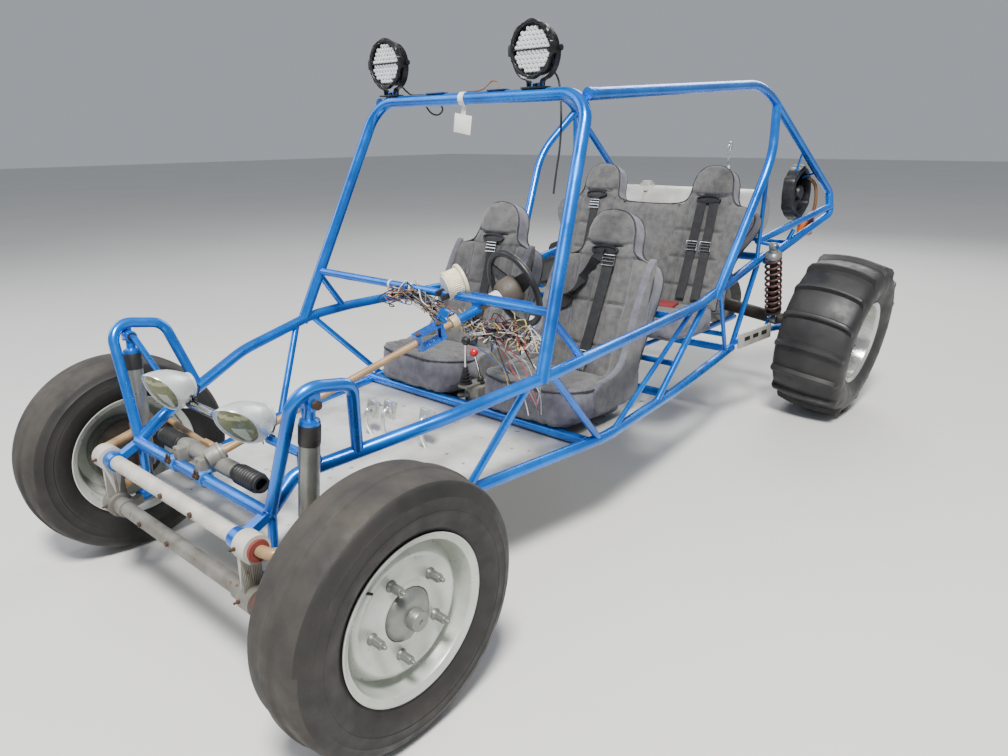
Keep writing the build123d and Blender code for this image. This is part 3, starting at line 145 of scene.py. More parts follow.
BLUE = surface("frame_blue", (0, 120, 222), 0.30, 0.62, 0.4, (0, 82, 172), 0.9, 5.0, 0.00015, 90.0,
               speck=(58, 62, 72), speck_scale=34.0, speck_level=0.73)
BEAM = surface("beam_grey", (196, 192, 182), 0.55, 0.0, 0.0, (150, 146, 136), 0.8, 14.0, 0.0003, 240.0,
               speck=(98, 62, 38), speck_scale=46.0, speck_level=0.69)
LOW_BEAM = surface("beam_lower", (126, 124, 118), 0.55, 0.2, 0.0, (92, 88, 80), 0.8, 14.0, 0.0003, 240.0,
                   speck=(92, 58, 36), speck_scale=46.0, speck_level=0.66)
KNUCKLE = surface("knuckle_rust", (62, 54, 46), 0.68, 0.3, 0.0, (36, 32, 30), 0.8, 30.0, 0.0005, 260.0)
TAN = surface("tan_paint", (168, 138, 100), 0.5, 0.1, 0.0, (128, 102, 74), 0.8, 20.0, 0.0002, 200.0)
SILVER = surface("shock_silver", (128, 130, 126), 0.38, 0.55, 0.1, (104, 105, 100), 0.6, 18.0, 0.0001, 160.0)
CAST = surface("cast_grey", (142, 140, 132), 0.55, 0.45, 0.0, (110, 106, 98), 0.7, 30.0, 0.0006, 420.0)
DARK = surface("dark_iron", (40, 38, 36), 0.6, 0.5, 0.0, (66, 54, 44), 0.6, 26.0, 0.0005, 260.0)
RIM = surface("rim_silver", (196, 200, 192), 0.36, 0.35, 0.15, (160, 164, 154), 0.6, 9.0, 0.0001, 120.0,
              speck=(120, 110, 92), speck_scale=50.0, speck_level=0.72)
BRIGHT = surface("bright_rim", (214, 214, 210), 0.24, 0.75, 0.2, (180, 180, 174), 0.5, 7.0, 0.0001, 120.0)
CHROME = surface("chrome", (226, 228, 228), 0.12, 1.0, 0.0, (196, 198, 198), 0.5, 8.0, 0.00005, 80.0,
                 rough_spread=0.06)
RUBBER = surface("tyre_rubber", (22, 21, 21), 0.62, 0.0, 0.0, (40, 37, 34), 0.8, 7.0, 0.0004, 380.0)
TREAD = surface("tread_rubber", (44, 42, 40), 0.78, 0.0, 0.0, (66, 61, 55), 0.9, 9.0, 0.0006, 300.0)
PADDLE = surface("paddle_rubber", (30, 30, 32), 0.52, 0.0, 0.0, (58, 56, 54), 0.5, 6.0, 0.0004, 300.0)
BLACK_RUBBER = surface("black_rubber", (26, 26, 27), 0.5, 0.0, 0.0, (44, 42, 40), 0.6, 25.0, 0.0003, 300.0)
PLASTIC = surface("black_plastic", (22, 22, 24), 0.42, 0.0, 0.0, (36, 36, 38), 0.5, 20.0, 0.0002, 420.0)
CLOTH = surface("seat_cloth", (102, 101, 99), 0.92, 0.0, 0.0, (72, 71, 72), 0.9, 30.0, 0.0009, 900.0,
                sheen=0.25, speck=(70, 70, 74), speck_scale=420.0, speck_level=0.55)
SIDE_CLOTH = surface("side_cloth", (108, 107, 116), 0.9, 0.0, 0.0, (82, 81, 90), 0.9, 26.0, 0.0007, 800.0,
                     sheen=0.2)
PIPING = surface("piping", (34, 34, 36), 0.8, 0.0, 0.0, (70, 70, 72), 0.6, 60.0, 0.0002, 700.0)
BELT = surface("belt_black", (26, 26, 28), 0.7, 0.0, 0.0, (44, 44, 46), 0.7, 30.0, 0.0005, 1100.0)
TANK = surface("tank_white", (206, 205, 200), 0.42, 0.45, 0.0, (178, 176, 168), 0.7, 8.0, 0.0002, 90.0)
SHEET = surface("floor_sheet", (228, 228, 224), 0.40, 0.35, 0.0, (176, 174, 166), 0.9, 6.0, 0.0004, 60.0,
                speck=(112, 104, 92), speck_scale=22.0, speck_level=0.66)
LAMP_BLACK = surface("lamp_black", (20, 20, 22), 0.4, 0.3, 0.1, (34, 34, 36), 0.5, 20.0, 0.0001, 300.0)
SPRING = surface("spring_brown", (74, 38, 32), 0.5, 0.2, 0.1, (44, 26, 24), 0.8, 24.0, 0.0003, 220.0)
ORANGE = surface("canister_orange", (214, 108, 28), 0.45, 0.0, 0.2, (184, 88, 22), 0.6, 20.0, 0.0002, 200.0)
CREAM = surface("gauge_cream", (222, 212, 180), 0.5, 0.0, 0.1, (200, 188, 156), 0.6, 24.0, 0.0002, 200.0)
SHELL = surface("lamp_shell", (206, 209, 206), 0.34, 0.35, 0.15, (182, 185, 183), 0.6, 14.0, 0.0001, 120.0)
WHITE = surface("white_plastic", (228, 228, 222), 0.42, 0.0, 0.1, (206, 204, 196), 0.6, 18.0, 0.0001, 200.0)
RED = surface("red_knob", (188, 22, 34), 0.3, 0.0, 0.4, (150, 16, 26), 0.5, 20.0)
FADED = surface("bracket_blue", (88, 138, 196), 0.5, 0.1, 0.1, (60, 100, 160), 0.7, 22.0, 0.0003, 200.0)
DEEP_BLUE = surface("plate_blue", (14, 44, 104), 0.45, 0.3, 0.2, (8, 28, 70), 0.7, 20.0, 0.0002, 200.0)
RUST = surface("rusty_steel", (84, 62, 48), 0.72, 0.4, 0.0, (58, 44, 34), 0.8, 40.0, 0.0006, 300.0)
PALE_TAN = surface("collar_tan", (188, 172, 140), 0.5, 0.1, 0.0, (150, 132, 102), 0.7, 24.0, 0.0002, 200.0)
POD = surface("column_pod", (84, 76, 68), 0.6, 0.0, 0.0, (62, 56, 50), 0.7, 18.0, 0.0002, 240.0)
SEAL = surface("seal_red", (136, 60, 54), 0.6, 0.0, 0.0, (100, 46, 42), 0.7, 20.0)
LAP_RED = surface("lap_red", (128, 40, 42), 0.85, 0.0, 0.0, (96, 32, 34), 0.7, 30.0, 0.0004, 500.0)
PALE = surface("pale_plate", (190, 188, 180), 0.45, 0.4, 0.0, (150, 146, 136), 0.7, 18.0, 0.0003, 160.0)
LEADS = [surface("lead_" + name, value, 0.5, 0.0, 0.1, tuple(int(v * 0.8) for v in value), 0.6, 40.0)
         for name, value in (("grey", (120, 118, 114)), ("brown", (120, 84, 52)), ("blue", (44, 74, 150)),
                             ("white", (214, 212, 204)), ("black", (30, 30, 32)), ("yellow", (196, 170, 96)),
                             ("red", (158, 52, 60)))]
BROWN_WIRE, BLACK_WIRE = LEADS[1], LEADS[4]


def glass(name, colour, rough, weight):
    """A clear or ribbed lens."""
    material = surface(name, colour, rough, 0.0, 0.4, None, 0.4, 10.0, fade=0.9)
    shader = material.node_tree.nodes["Principled BSDF"]
    shader.inputs["Transmission Weight"].default_value = weight
    shader.inputs["IOR"].default_value = 1.45
    return material


REFLECTOR = surface("reflector", (238, 240, 242), 0.2, 0.55, 0.2, (214, 216, 218), 0.4, 30.0)


def shade_smooth(mesh, angle):
    """Smooth shading that stops at edges sharper than an angle."""
    for polygon in mesh.polygons:
        polygon.use_smooth = True
    mesh.set_sharp_from_angle(angle=math.radians(angle))


# Meshes
class Shape:
    """Verts and faces gathered from several simple forms before they become one piece."""

    def __init__(self):
        self.verts = []
        self.faces = []

    def take(self, verts, faces, move=None):
        start = len(self.verts)
        self.verts += [move @ Vector(v) if move else Vector(v) for v in verts]
        self.faces += [[start + i for i in face] for face in faces]
        return self

    def lathe(self, profile, move=None, steps=64, closed=True):
        """Turn (along X, radius) points about the X axis."""
        return self.turned(lambda turn: profile, steps, move, closed)

    def turned(self, section, steps, move=None, closed=True):
        """Join the (along X, radius) points that a function gives at each turn about the X axis."""
        verts = []
        for step in range(steps):
            turn = 2 * math.pi * step / steps
            row = section(turn)
            verts += [(out, radius * math.sin(turn), radius * math.cos(turn)) for out, radius in row]
        count = len(row)
        faces = []
        last = count if closed else count - 1
        for step in range(steps):
            here, there = step * count, (step + 1) % steps * count
            faces += [(here + k, here + (k + 1) % count, there + (k + 1) % count, there + k) for k in range(last)]
        return self.take(verts, faces, move)

    def slab(self, corners, lift, move):
        """A flat plate from four corners and its thickness along X."""
        verts = [move @ Vector((x - back, y, z)) for back in (0.0, lift) for x, y, z in corners]
        return self.take(verts, [(0, 1, 2, 3), (7, 6, 5, 4), (0, 4, 5, 1), (1, 5, 6, 2), (2, 6, 7, 3), (3, 7, 4, 0)])

    def tube(self, points, radius, sides=12, ends=True, radii=None):
        """A round bar along points."""
        points = [Vector(p) for p in points]
        rows = []
        normal = None
        for i, p in enumerate(points):
            ahead = points[min(i + 1, len(points) - 1)] - points[max(i - 1, 0)]
            ahead.normalize()
            if normal is None:
                normal = ahead.orthogonal().normalized()
            normal = (normal - ahead * normal.dot(ahead)).normalized()
            other = ahead.cross(normal)
            r = radii[i] if radii else radius
            rows.append([p + r * (math.cos(a) * normal + math.sin(a) * other)
                         for a in (2 * math.pi * k / sides for k in range(sides))])
        return self.rings(rows, 2 if ends else 0)

    def rings(self, rows, caps=2):
        """Join equal rings of points, with both ends closed, the last one only, or none."""
        count = len(rows[0])
        faces = [(i * count + k, i * count + (k + 1) % count, (i + 1) * count + (k + 1) % count, (i + 1) * count + k)
                 for i in range(len(rows) - 1) for k in range(count)]
        if caps == 2:
            faces.append(list(range(count))[::-1])
        if caps:
            faces.append([(len(rows) - 1) * count + k for k in range(count)])
        return self.take([v for row in rows for v in row], faces)

    def block(self, size, move=None, edge=0.0):
        """A box about the origin with its edges broken."""
        edit = bmesh.new()
        bmesh.ops.create_cube(edit, size=1.0)
        bmesh.ops.scale(edit, vec=size, verts=edit.verts)
        if edge:
            bmesh.ops.bevel(edit, geom=edit.edges[:], offset=edge, segments=2, profile=0.5, affect="EDGES")
        edit.verts.index_update()
        self.take([v.co.copy() for v in edit.verts], [[v.index for v in face.verts] for face in edit.faces], move)
        edit.free()
        return self

    def done(self, name, material, slot=None, body="chassis", smooth=True):
        """The finished mesh in its material. It rides on a body. The slot is not used."""
        mesh = bpy.data.meshes.new(name)
        mesh.from_pydata([tuple(v) for v in self.verts], [], self.faces)
        mesh.validate()
        mesh.update()
        obj = bpy.data.objects.new(name, mesh)
        link(obj)
        edit = bmesh.new()
        edit.from_mesh(mesh)
        bmesh.ops.recalc_face_normals(edit, faces=edit.faces)
        edit.to_mesh(mesh)
        edit.free()
        mesh.materials.append(material)
        if smooth:
            shade_smooth(mesh, 38)
        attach(obj, body)
        return obj


def ball(radius, start, stop, step, pole):
    """A ball's profile between two angles, closed at its poles."""
    turns = [math.radians(angle) for angle in range(start, stop, -step)]
    return [(-pole, AXIS)] + [(radius * math.cos(a), radius * math.sin(a)) for a in turns] + [(pole, AXIS)]


def band(half, inner, outer):
    """The profile of a ring about the middle."""
    return [(-half, inner), (-half, outer), (half, outer), (half, inner)]


def eye(half, bore):
    """The profile of a shock's eye, its rims broken."""
    return [(-half, bore), (-half, 0.0165), (0.003 - half, 0.018), (half - 0.003, 0.018), (half, 0.0165), (half, bore)]


def head(radius, tall):
    """The profile of a bolt's head or a nut."""
    return [(0, AXIS), (0, radius), (tall, radius), (tall + 0.001, AXIS)]


UPWARD = Matrix.Rotation(-math.pi / 2, 4, "Y")
FORWARD = Matrix.Rotation(-math.pi / 2, 4, "Z")


def aim(place, direction):
    """A matrix that stands the X axis along a direction at a place."""
    return Matrix.Translation(Vector(place)) @ Vector(direction).to_track_quat("X", "Z").to_matrix().to_4x4()


# Finishes of the carried-over nodes
finishes = {
    BLUE: ("upper_rails", "lower_rails", "front_hoop", "roof_rails", "rear_uprights", "cross_tubes", "side_braces",
           "tail_tubes", "shock_hoops", "bench_frame", "transaxle_horns", "beam_clamps", "column_tube", "rear_arms",
           "lamp_bar", "dash_panel"),
    BEAM: ("front_beam",),
    TAN: ("trailing_arms", "tie_rod", "steering_shaft"),
    KNUCKLE: ("knuckle_left", "knuckle_right"),
    SILVER: ("front_shocks",),
    CAST: ("rack_housing", "transaxle", "shifter"),
    DARK: ("swing_axles", "hub_front_left", "hub_front_right", "hub_rear_left", "hub_rear_right"),
    RIM: ("rim_front_left", "rim_front_right"),
    BRIGHT: ("rim_rear_left", "rim_rear_right", "pedals"),
    RUBBER: ("tyre_front_left", "tyre_front_right"),
    PADDLE: ("tyre_rear_left", "tyre_rear_right"),
    BLACK_RUBBER: ("rack_bellows",),
    PLASTIC: ("steering_wheel",),
    CLOTH: ("seat_backs", "seat_cushions", "bench_back", "bench_cushion"),
    TANK: ("fuel_tank",),
    SHEET: ("floor_pan",),
    SPRING: ("coil_overs",),
    CREAM: ("gauge",),
    ORANGE: ("canister",),
    LAMP_BLACK: ("roof_lamps", "cooling_fan", "lamp_lead"),
}
for material, names in finishes.items():
    for name in names:
        if name not in nodes:
            continue
        mesh = nodes[name].data
        mesh.materials.clear()
        mesh.materials.append(material)
        shade_smooth(mesh, 35)

for name in ("front_beam", "beam_clamps", "rear_arms"):
    even = nodes[name].modifiers.new("even", "WEIGHTED_NORMAL")
    even.keep_sharp = True


def repaint(name, material, chosen):
    """A second finish on the faces of a carried-over node whose middles are chosen."""
    mesh = nodes[name].data
    mesh.materials.append(material)
    for polygon in mesh.polygons:
        if chosen(nodes[name].matrix_world @ polygon.center):
            polygon.material_index = 1


steer_dir = Vector(joint["steering_turn"]["axis"])
pinion = Vector(joint["steering_turn"]["pos_m"])
repaint("front_beam", LOW_BEAM, lambda place: place.z < 0.38)
repaint("beam_clamps", LOW_BEAM, lambda place: place.z < 0.38)
repaint("steering_shaft", BLUE, lambda place: 0.636 < (place - pinion).dot(steer_dir) < 0.740)

# Camera: the photograph's solved place, turn and lens
CAMERA_PLACE = Vector((1.868, -2.420, 1.378))
YAW, PITCH, ROLL = math.radians(40.96), math.radians(18.20), math.radians(-0.46)
ahead = Vector((-math.sin(YAW) * math.cos(PITCH), math.cos(YAW) * math.cos(PITCH), -math.sin(PITCH)))
right = Vector((math.cos(YAW), math.sin(YAW), 0))
up = right.cross(ahead)
turned_right = math.cos(ROLL) * right + math.sin(ROLL) * up
turned_up = -math.sin(ROLL) * right + math.cos(ROLL) * up
basis = Matrix((turned_right, turned_up, -ahead)).transposed()
camera = bpy.data.objects.new("camera", bpy.data.cameras.new("camera"))
camera.data.sensor_width = 36.0
camera.data.lens = 36.0 * 740.8 / 1008.0
camera.matrix_world = Matrix.Translation(CAMERA_PLACE) @ basis.to_4x4()
link(camera)
bpy.context.scene.camera = camera

# The left roof lamp's lead: its route point by point behind the front hoop, smooth between them
lead_route = [(300, 1084, 1578), (300, 1144, 1578), (335, 1122, 1478), (353, 1096, 1345), (344, 1086, 1262),
              (338, 1081, 1189)]
LEAD_R = 0.0035
lead_curve = bpy.data.curves.new("lamp_lead_curve", "CURVE")
lead_curve.dimensions = "3D"
lead_curve.resolution_u = 8
lead_curve.bevel_depth = LEAD_R
lead_curve.bevel_resolution = 3
lead_curve.use_fill_caps = True
spline = lead_curve.splines.new("NURBS")
spline.points.add(len(lead_route) - 1)
for point, place in zip(spline.points, lead_route):
    point.co = (*at(*place), 1.0)
spline.order_u = 3
spline.use_endpoint_u = True
lead = bpy.data.objects.new("lamp_lead_cord", lead_curve)
link(lead)
lead_curve.materials.append(BLACK_RUBBER)
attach(lead, "chassis")
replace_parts(lead, "lamp_lead")


# Wheels
def wheel_frames():
    """Each wheel's end, its side and the matrix from the wheel's own frame, its outer face along +X."""
    for end in ("front", "rear"):
        for side, sign in SIDES:
            pos = Vector(joint["roll_%s_%s" % (end, side)]["pos_m"])
            turn = Matrix.Rotation(CAMBER[end], 4, "Y")
            flip = Matrix.Diagonal((sign, 1, 1, 1))
            yield end, side, Matrix.Translation(pos) @ flip @ turn


FRONT_R = 0.340
TREAD_R = 0.321                # the tread's finish begins here
RIM_R = 0.207
HUB_FACE = 0.048               # how far a wheel's disc lies out from its middle
STUD_CIRCLE_R = 0.1025
STUD_TURN = math.radians(24)
PADDLES = 16


def front_tyre(side, move):
    """A smooth worn tyre with one raised rib and fine rings on its sidewalls."""
    wall = [(-0.073, 0.191), (-0.080, 0.214), (-0.087, 0.222), (-0.094, 0.236), (-0.0975, 0.252), (-0.098, 0.262),
            (-0.0972, 0.2635), (-0.0985, 0.266), (-0.0975, 0.2685), (-0.0972, 0.280), (-0.0955, 0.290),
            (-0.0965, 0.292), (-0.0945, 0.2945), (-0.091, 0.306), (-0.086, 0.317), (-0.079, 0.3255)]
    tread = [(-0.070, 0.3305), (-0.052, 0.3325), (-0.034, 0.3335), (-0.020, 0.334), (-0.0175, 0.3355),
             (-0.015, 0.339), (-0.012, FRONT_R)]
    half = wall + tread
    profile = half + [(-x, r) for x, r in reversed(half)]
    shape = Shape().lathe(profile, move, 144)
    obj = shape.done("tyre_front_%s_skin" % side, RUBBER, body="wheel_front_" + side)
    obj.data.materials.append(TREAD)
    hub = move @ Vector((0, 0, 0))
    for polygon in obj.data.polygons:
        centre = polygon.center - hub
        if math.hypot(centre.y, centre.z) > TREAD_R:
            polygon.material_index = 1
    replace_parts(obj, "tyre_front_" + side)


def rear_tyre(side, move):
    """A crowned tyre with bowed full-width paddles that roll over its shoulders."""
    crown = 0.620
    def top(out, radius):
        return radius - crown + math.sqrt(crown * crown - out * out)
    half = [(-0.134, 0.191), (-0.142, 0.214), (-0.156, 0.238), (-0.167, 0.262), (-0.172, 0.285), (-0.171, 0.310),
            (-0.166, 0.332), (-0.156, 0.350), (-0.142, 0.3605)]
    half += [(-x, top(x, 0.378)) for x in (0.12, 0.09, 0.06, 0.03)]
    profile = half + [(0, 0.378)] + [(-x, r) for x, r in reversed(half)]
    shape = Shape().lathe(profile, move, 120)
    body = shape.done("tyre_rear_%s_carcass" % side, PADDLE, body="wheel_rear_" + side)
    paddles = Shape()
    across = 15
    for step in range(PADDLES):
        spin = Matrix.Rotation(2 * math.pi * step / PADDLES, 4, "X")
        verts = []
        for k in range(across):
            share = 2.0 * k / (across - 1) - 1.0
            out = 0.166 * math.sin(share * math.pi / 2 * 0.98)
            edge = abs(share)
            floor = top(min(abs(out), 0.145), 0.374) - (0.040 * max(edge - 0.80, 0) / 0.2)
            height = (0.026 if edge < 0.8 else 0.026 - 0.016 * (edge - 0.8) / 0.2)
            back = 0.030 * edge * edge - 0.012
            wide = 0.0085
            for swing, rise in ((-wide * 2.0, -0.004), (-wide, height * 0.94), (-wide * 0.5, height),
                                (wide * 0.5, height), (wide, height * 0.94), (wide * 2.4, -0.004)):
                verts.append(spin @ Vector((out, back + swing, -(floor + rise))))
        faces = []
        for k in range(across - 1):
            faces += [(k * 6 + j, k * 6 + (j + 1) % 6, (k + 1) * 6 + (j + 1) % 6, (k + 1) * 6 + j) for j in range(6)]
        faces += [list(range(6)), [(across - 1) * 6 + j for j in range(6)]]
        paddles.take(verts, faces, move)
    treads = paddles.done("tyre_rear_%s_paddles" % side, PADDLE, body="wheel_rear_" + side)
    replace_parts(body, "tyre_rear_" + side)
    return treads


def rim(end, side, move):
    """A stamped steel wheel: stepped barrel, rolled flanges and a dished disc with embossed ring."""
    wide = 0.084 if end == "front" else 0.145
    face = HUB_FACE
    barrel = [(-wide, RIM_R), (-wide - 0.001, RIM_R - 0.003), (-wide + 0.001, RIM_R - 0.006), (-wide + 0.006, 0.193),
              (-wide + 0.012, 0.186), (-wide + 0.034, 0.184), (-wide + 0.044, 0.174), (face - 0.034, 0.171),
              (face - 0.024, 0.176), (face - 0.012, 0.184), (wide - 0.016, 0.185), (wide - 0.008, 0.188),
              (wide - 0.003, 0.198), (wide + 0.001, RIM_R - 0.003), (wide, RIM_R), (wide - 0.004, RIM_R - 0.001),
              (wide - 0.008, 0.200), (wide - 0.012, 0.191), (wide - 0.05, 0.189), (-wide + 0.05, 0.189),
              (-wide + 0.012, 0.191), (-wide + 0.007, 0.200)]
    disc = [(face - 0.030, 0.177), (face - 0.020, 0.168), (face - 0.004, 0.158), (face + 0.003, 0.150),
            (face + 0.004, 0.143), (face + 0.001, 0.136), (face - 0.001, 0.128), (face, 0.118), (face, 0.084),
            (face + 0.001, 0.080), (face + 0.004, 0.074), (face + 0.004, 0.067), (face - 0.002, 0.066),
            (face - 0.006, 0.067), (face - 0.006, 0.118), (face - 0.008, 0.150), (face - 0.034, 0.172)]
    shape = Shape().lathe(barrel, move, 128).lathe(disc, move, 128)
    material, slot = (RIM, "rim_silver") if end == "front" else (BRIGHT, "lamp_chrome")
    obj = shape.done("rim_%s_%s_skin" % (end, side), material, slot, "wheel_%s_%s" % (end, side))
    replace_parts(obj, "rim_%s_%s" % (end, side))


def hub(end, side, move):
    """Drum, domed middle with a grease cap, and five studs with conical washers and nuts."""
    face = HUB_FACE
    body = "wheel_%s_%s" % (end, side)
    drum = [(-0.022, 0.018), (-0.022, 0.118), (-0.016, 0.121), (-0.010, 0.118), (0.036, 0.118), (0.0415, 0.112),
            (0.0415, 0.068), (face + 0.004, 0.065), (face + 0.012, 0.061), (face + 0.019, 0.053),
            (face + 0.024, 0.042), (face + 0.026, 0.030), (face + 0.0265, 0.0262), (face + 0.029, 0.0255),
            (face + 0.046, 0.0248), (face + 0.048, 0.0235), (face + 0.0485, 0.006), (face + 0.046, 0.0055),
            (face + 0.046, AXIS), (face - 0.012, AXIS)]
    middle = Shape().lathe(drum, move, 72)
    obj = middle.done("hub_%s_%s_skin" % (end, side), SILVER, body=body)
    studs = Shape()
    for k in range(5):
        turn = 2 * math.pi * k / 5 - STUD_TURN
        y, z = STUD_CIRCLE_R * math.sin(turn), STUD_CIRCLE_R * math.cos(turn)
        place = move @ Matrix.Translation((0, y, z))
        studs.lathe([(face - 0.006, AXIS), (face - 0.006, 0.0145), (face + 0.002, 0.0145), (face + 0.006, 0.0118),
                     (face + 0.008, 0.0100), (face + 0.034, 0.0098), (face + 0.036, 0.0090), (face + 0.0365, 0.0052),
                     (face + 0.046, 0.0050), (face + 0.047, 0.0042), (face + 0.0475, AXIS)], place, 20)
        for flute in range(10):
            angle = math.pi * flute / 5
            studs.tube([place @ Vector((out, 0.0098 * math.sin(angle), 0.0098 * math.cos(angle)))
                        for out in (face + 0.009, face + 0.033)], 0.0013, 6)
    studs.done("studs_%s_%s" % (end, side), SILVER, body=body)
    valve = move @ Matrix.Translation((face - 0.016, -0.120, 0.112)) @ Matrix.Rotation(0.5, 4, "Z")
    Shape().lathe([(0, AXIS), (0, 0.0055), (0.014, 0.005), (0.016, 0.0035), (0.034, 0.0034), (0.036, AXIS)],
                  valve, 16).done("valve_%s_%s" % (end, side), BLACK_RUBBER, "tyre_black", body)
    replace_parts(obj, "hub_%s_%s" % (end, side))


for end, side, move in wheel_frames():
    if end == "front":
        front_tyre(side, move)
    else:
        rear_tyre(side, move)
    rim(end, side, move)
    hub(end, side, move)


# Soft pads: an outline made into a closed pad, swollen by cloth simulation, then sewn
def between(a, b, c, d, steps):
    """Points on the smooth line through four places, from the second one towards the third."""
    return [0.5 * (2 * b + (c - a) * t + (2 * a - 5 * b + 4 * c - d) * t ** 2 + (3 * b - a - 3 * c + d) * t ** 3)
            for t in (k / steps for k in range(steps))]


def rounded(points, steps):
    """A smooth closed outline through corner points."""
    curve = []
    for i in range(len(points)):
        curve += between(*(Vector(points[(i + k - 1) % len(points)]) for k in range(4)), steps)
    return curve


def flowing(points, steps=5):
    """A smooth open line through points."""
    points = [Vector(p) for p in points]
    points = [2 * points[0] - points[1]] + points + [2 * points[-1] - points[-2]]
    curve = []
    for four in zip(points, points[1:], points[2:], points[3:]):
        curve += between(*four, steps)
    return curve + [points[-2]]


def both_sides(half):
    """A whole outline from its right half, which runs from the foot to the top middle."""
    return list(half) + [(-x, y) for x, y in reversed(half) if x]


def grown(outline, amount):
    """An outline moved outward by an amount, or inward by a negative one."""
    area = sum(p[0] * q[1] - q[0] * p[1] for p, q in zip(outline, list(outline[1:]) + [outline[0]]))
    sign = 1 if area > 0 else -1
    moved = []
    for i, p in enumerate(outline):
        edge = Vector(outline[(i + 1) % len(outline)]) - Vector(outline[i - 1])
        normal = sign * Vector((edge.y, -edge.x)).normalized()
        moved.append(Vector(p) + normal * amount)
    return moved


def pad_mesh(name, outline, depth, voxel, soften=8):
    """A closed pad of small even faces, its face at depth zero."""
    edit = bmesh.new()
    front = [edit.verts.new((p[0], p[1], 0)) for p in outline]
    rear = [edit.verts.new((p[0], p[1], -depth)) for p in outline]
    edit.faces.new(front)
    edit.faces.new(rear[::-1])
    for i in range(len(outline)):
        j = (i + 1) % len(outline)
        edit.faces.new((front[j], front[i], rear[i], rear[j]))
    bmesh.ops.recalc_face_normals(edit, faces=edit.faces)
    mesh = bpy.data.meshes.new(name)
    edit.to_mesh(mesh)
    edit.free()
    obj = bpy.data.objects.new(name, mesh)
    link(obj)
    remesh = obj.modifiers.new("remesh", "REMESH")
    remesh.mode = "VOXEL"
    remesh.voxel_size = voxel
    smooth = obj.modifiers.new("smooth", "SMOOTH")
    smooth.iterations = soften
    shown = obj.evaluated_get(bpy.context.evaluated_depsgraph_get())
    even = bpy.data.meshes.new_from_object(shown)
    obj.modifiers.clear()
    obj.data = even
    return obj


def plump(obj, cap, pressure=4.0):
    """Swell a closed pad by cloth simulation, each point by no more than the cap."""
    start = [v.co.copy() for v in obj.data.vertices]
    cloth = obj.modifiers.new("cloth", "CLOTH")
    cloth.settings.use_pressure = True
    cloth.settings.uniform_pressure_force = pressure
    cloth.settings.effector_weights.gravity = 0
    cloth.settings.quality = 3
    for number in range(1, 21):
        bpy.context.scene.frame_set(number)
    shown = obj.evaluated_get(bpy.context.evaluated_depsgraph_get())
    swollen = [v.co.copy() for v in shown.data.vertices]
    obj.modifiers.remove(cloth)
    bpy.context.scene.frame_set(1)
    for vertex, before, after in zip(obj.data.vertices, start, swollen):
        shift = after - before
        if shift.length > cap:
            shift *= cap / shift.length
        vertex.co = before + shift


def near(places, line):
    """How far each place is from a line of points."""
    best = np.full(len(places), 9.0)
    for a, b in zip(line, line[1:]):
        a, run = np.array(a[:2]), np.array(b[:2]) - np.array(a[:2])
        if not run.any():
            continue
        share = np.clip((places - a) @ run / (run @ run), 0.0, 1.0)
        best = np.minimum(best, np.linalg.norm(places - a - share[:, None] * run, axis=1))
    return best


def sew(obj, seams, crown=None, depth=0.011, width=0.0055):
    """Press sewn channels into the face of a pad and raise it between them."""
    places = np.array([vertex.co[:2] for vertex in obj.data.vertices])
    distances = np.min([near(places, line) for line in seams], axis=0)
    for vertex, away in zip(obj.data.vertices, distances.tolist()):
        facing = min(max((vertex.normal.z - 0.3) / 0.4, 0.0), 1.0)
        if not facing:
            continue
        sink = -depth * math.exp(-(away / width) ** 2) + 0.006 * min(away / 0.035, 1.0)
        if crown:
            sink += crown(vertex.co.x, vertex.co.y)
        vertex.co.z += sink * facing
    obj.data.update()


def upholster(obj, name, move):
    """Face and boxing materials, then the pad goes to its place."""
    obj.data.materials.clear()
    obj.data.materials.append(CLOTH)
    obj.data.materials.append(SIDE_CLOTH)
    for polygon in obj.data.polygons:
        polygon.material_index = 1 if abs(polygon.normal.z) < 0.5 else 0
        polygon.use_smooth = True
    obj.name = name
    obj.data.transform(move)
    obj.data.update()
    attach(obj, "chassis")


def twin(obj):
    """A copy of a pad with its own mesh, still in its own frame."""
    other = bpy.data.objects.new(obj.name + "_twin", obj.data.copy())
    link(other)
    return other


PIPING_R = 0.0036


def piping(name, pad, outline, depth, move):
    """Cord piping sewn along the edge of a pad that is already in its place."""
    tree = BVHTree.FromPolygons([v.co for v in pad.data.vertices], [p.vertices for p in pad.data.polygons])
    line = [tree.find_nearest(move @ Vector((p[0], p[1], depth)))[0] for p in outline]
    for _ in range(2):
        line = [(line[i - 1] + 2 * p + line[(i + 1) % len(line)]) / 4 for i, p in enumerate(line)]
    centre = sum(line, Vector()) / len(line)
    line = [p + (p - centre).normalized() * 0.0012 for p in line]
    Shape().tube(line + line[:2], PIPING_R, 8, False).done(name, PIPING)


def strap(shape, points, wide, across, thick=0.0022):
    """A flat woven strap along points, its width along one direction."""
    points = [Vector(p) for p in points]
    rows = []
    for i, p in enumerate(points):
        ahead = (points[min(i + 1, len(points) - 1)] - points[max(i - 1, 0)]).normalized()
        side = (Vector(across) - ahead * ahead.dot(Vector(across))).normalized()
        out = side.cross(ahead)
        rows.append([p + side * (wide / 2 * a) + out * (thick / 2 * b)
                     for a, b in ((-1, -1), (1, -1), (1, 1), (-1, 1))])
    shape.rings(rows)


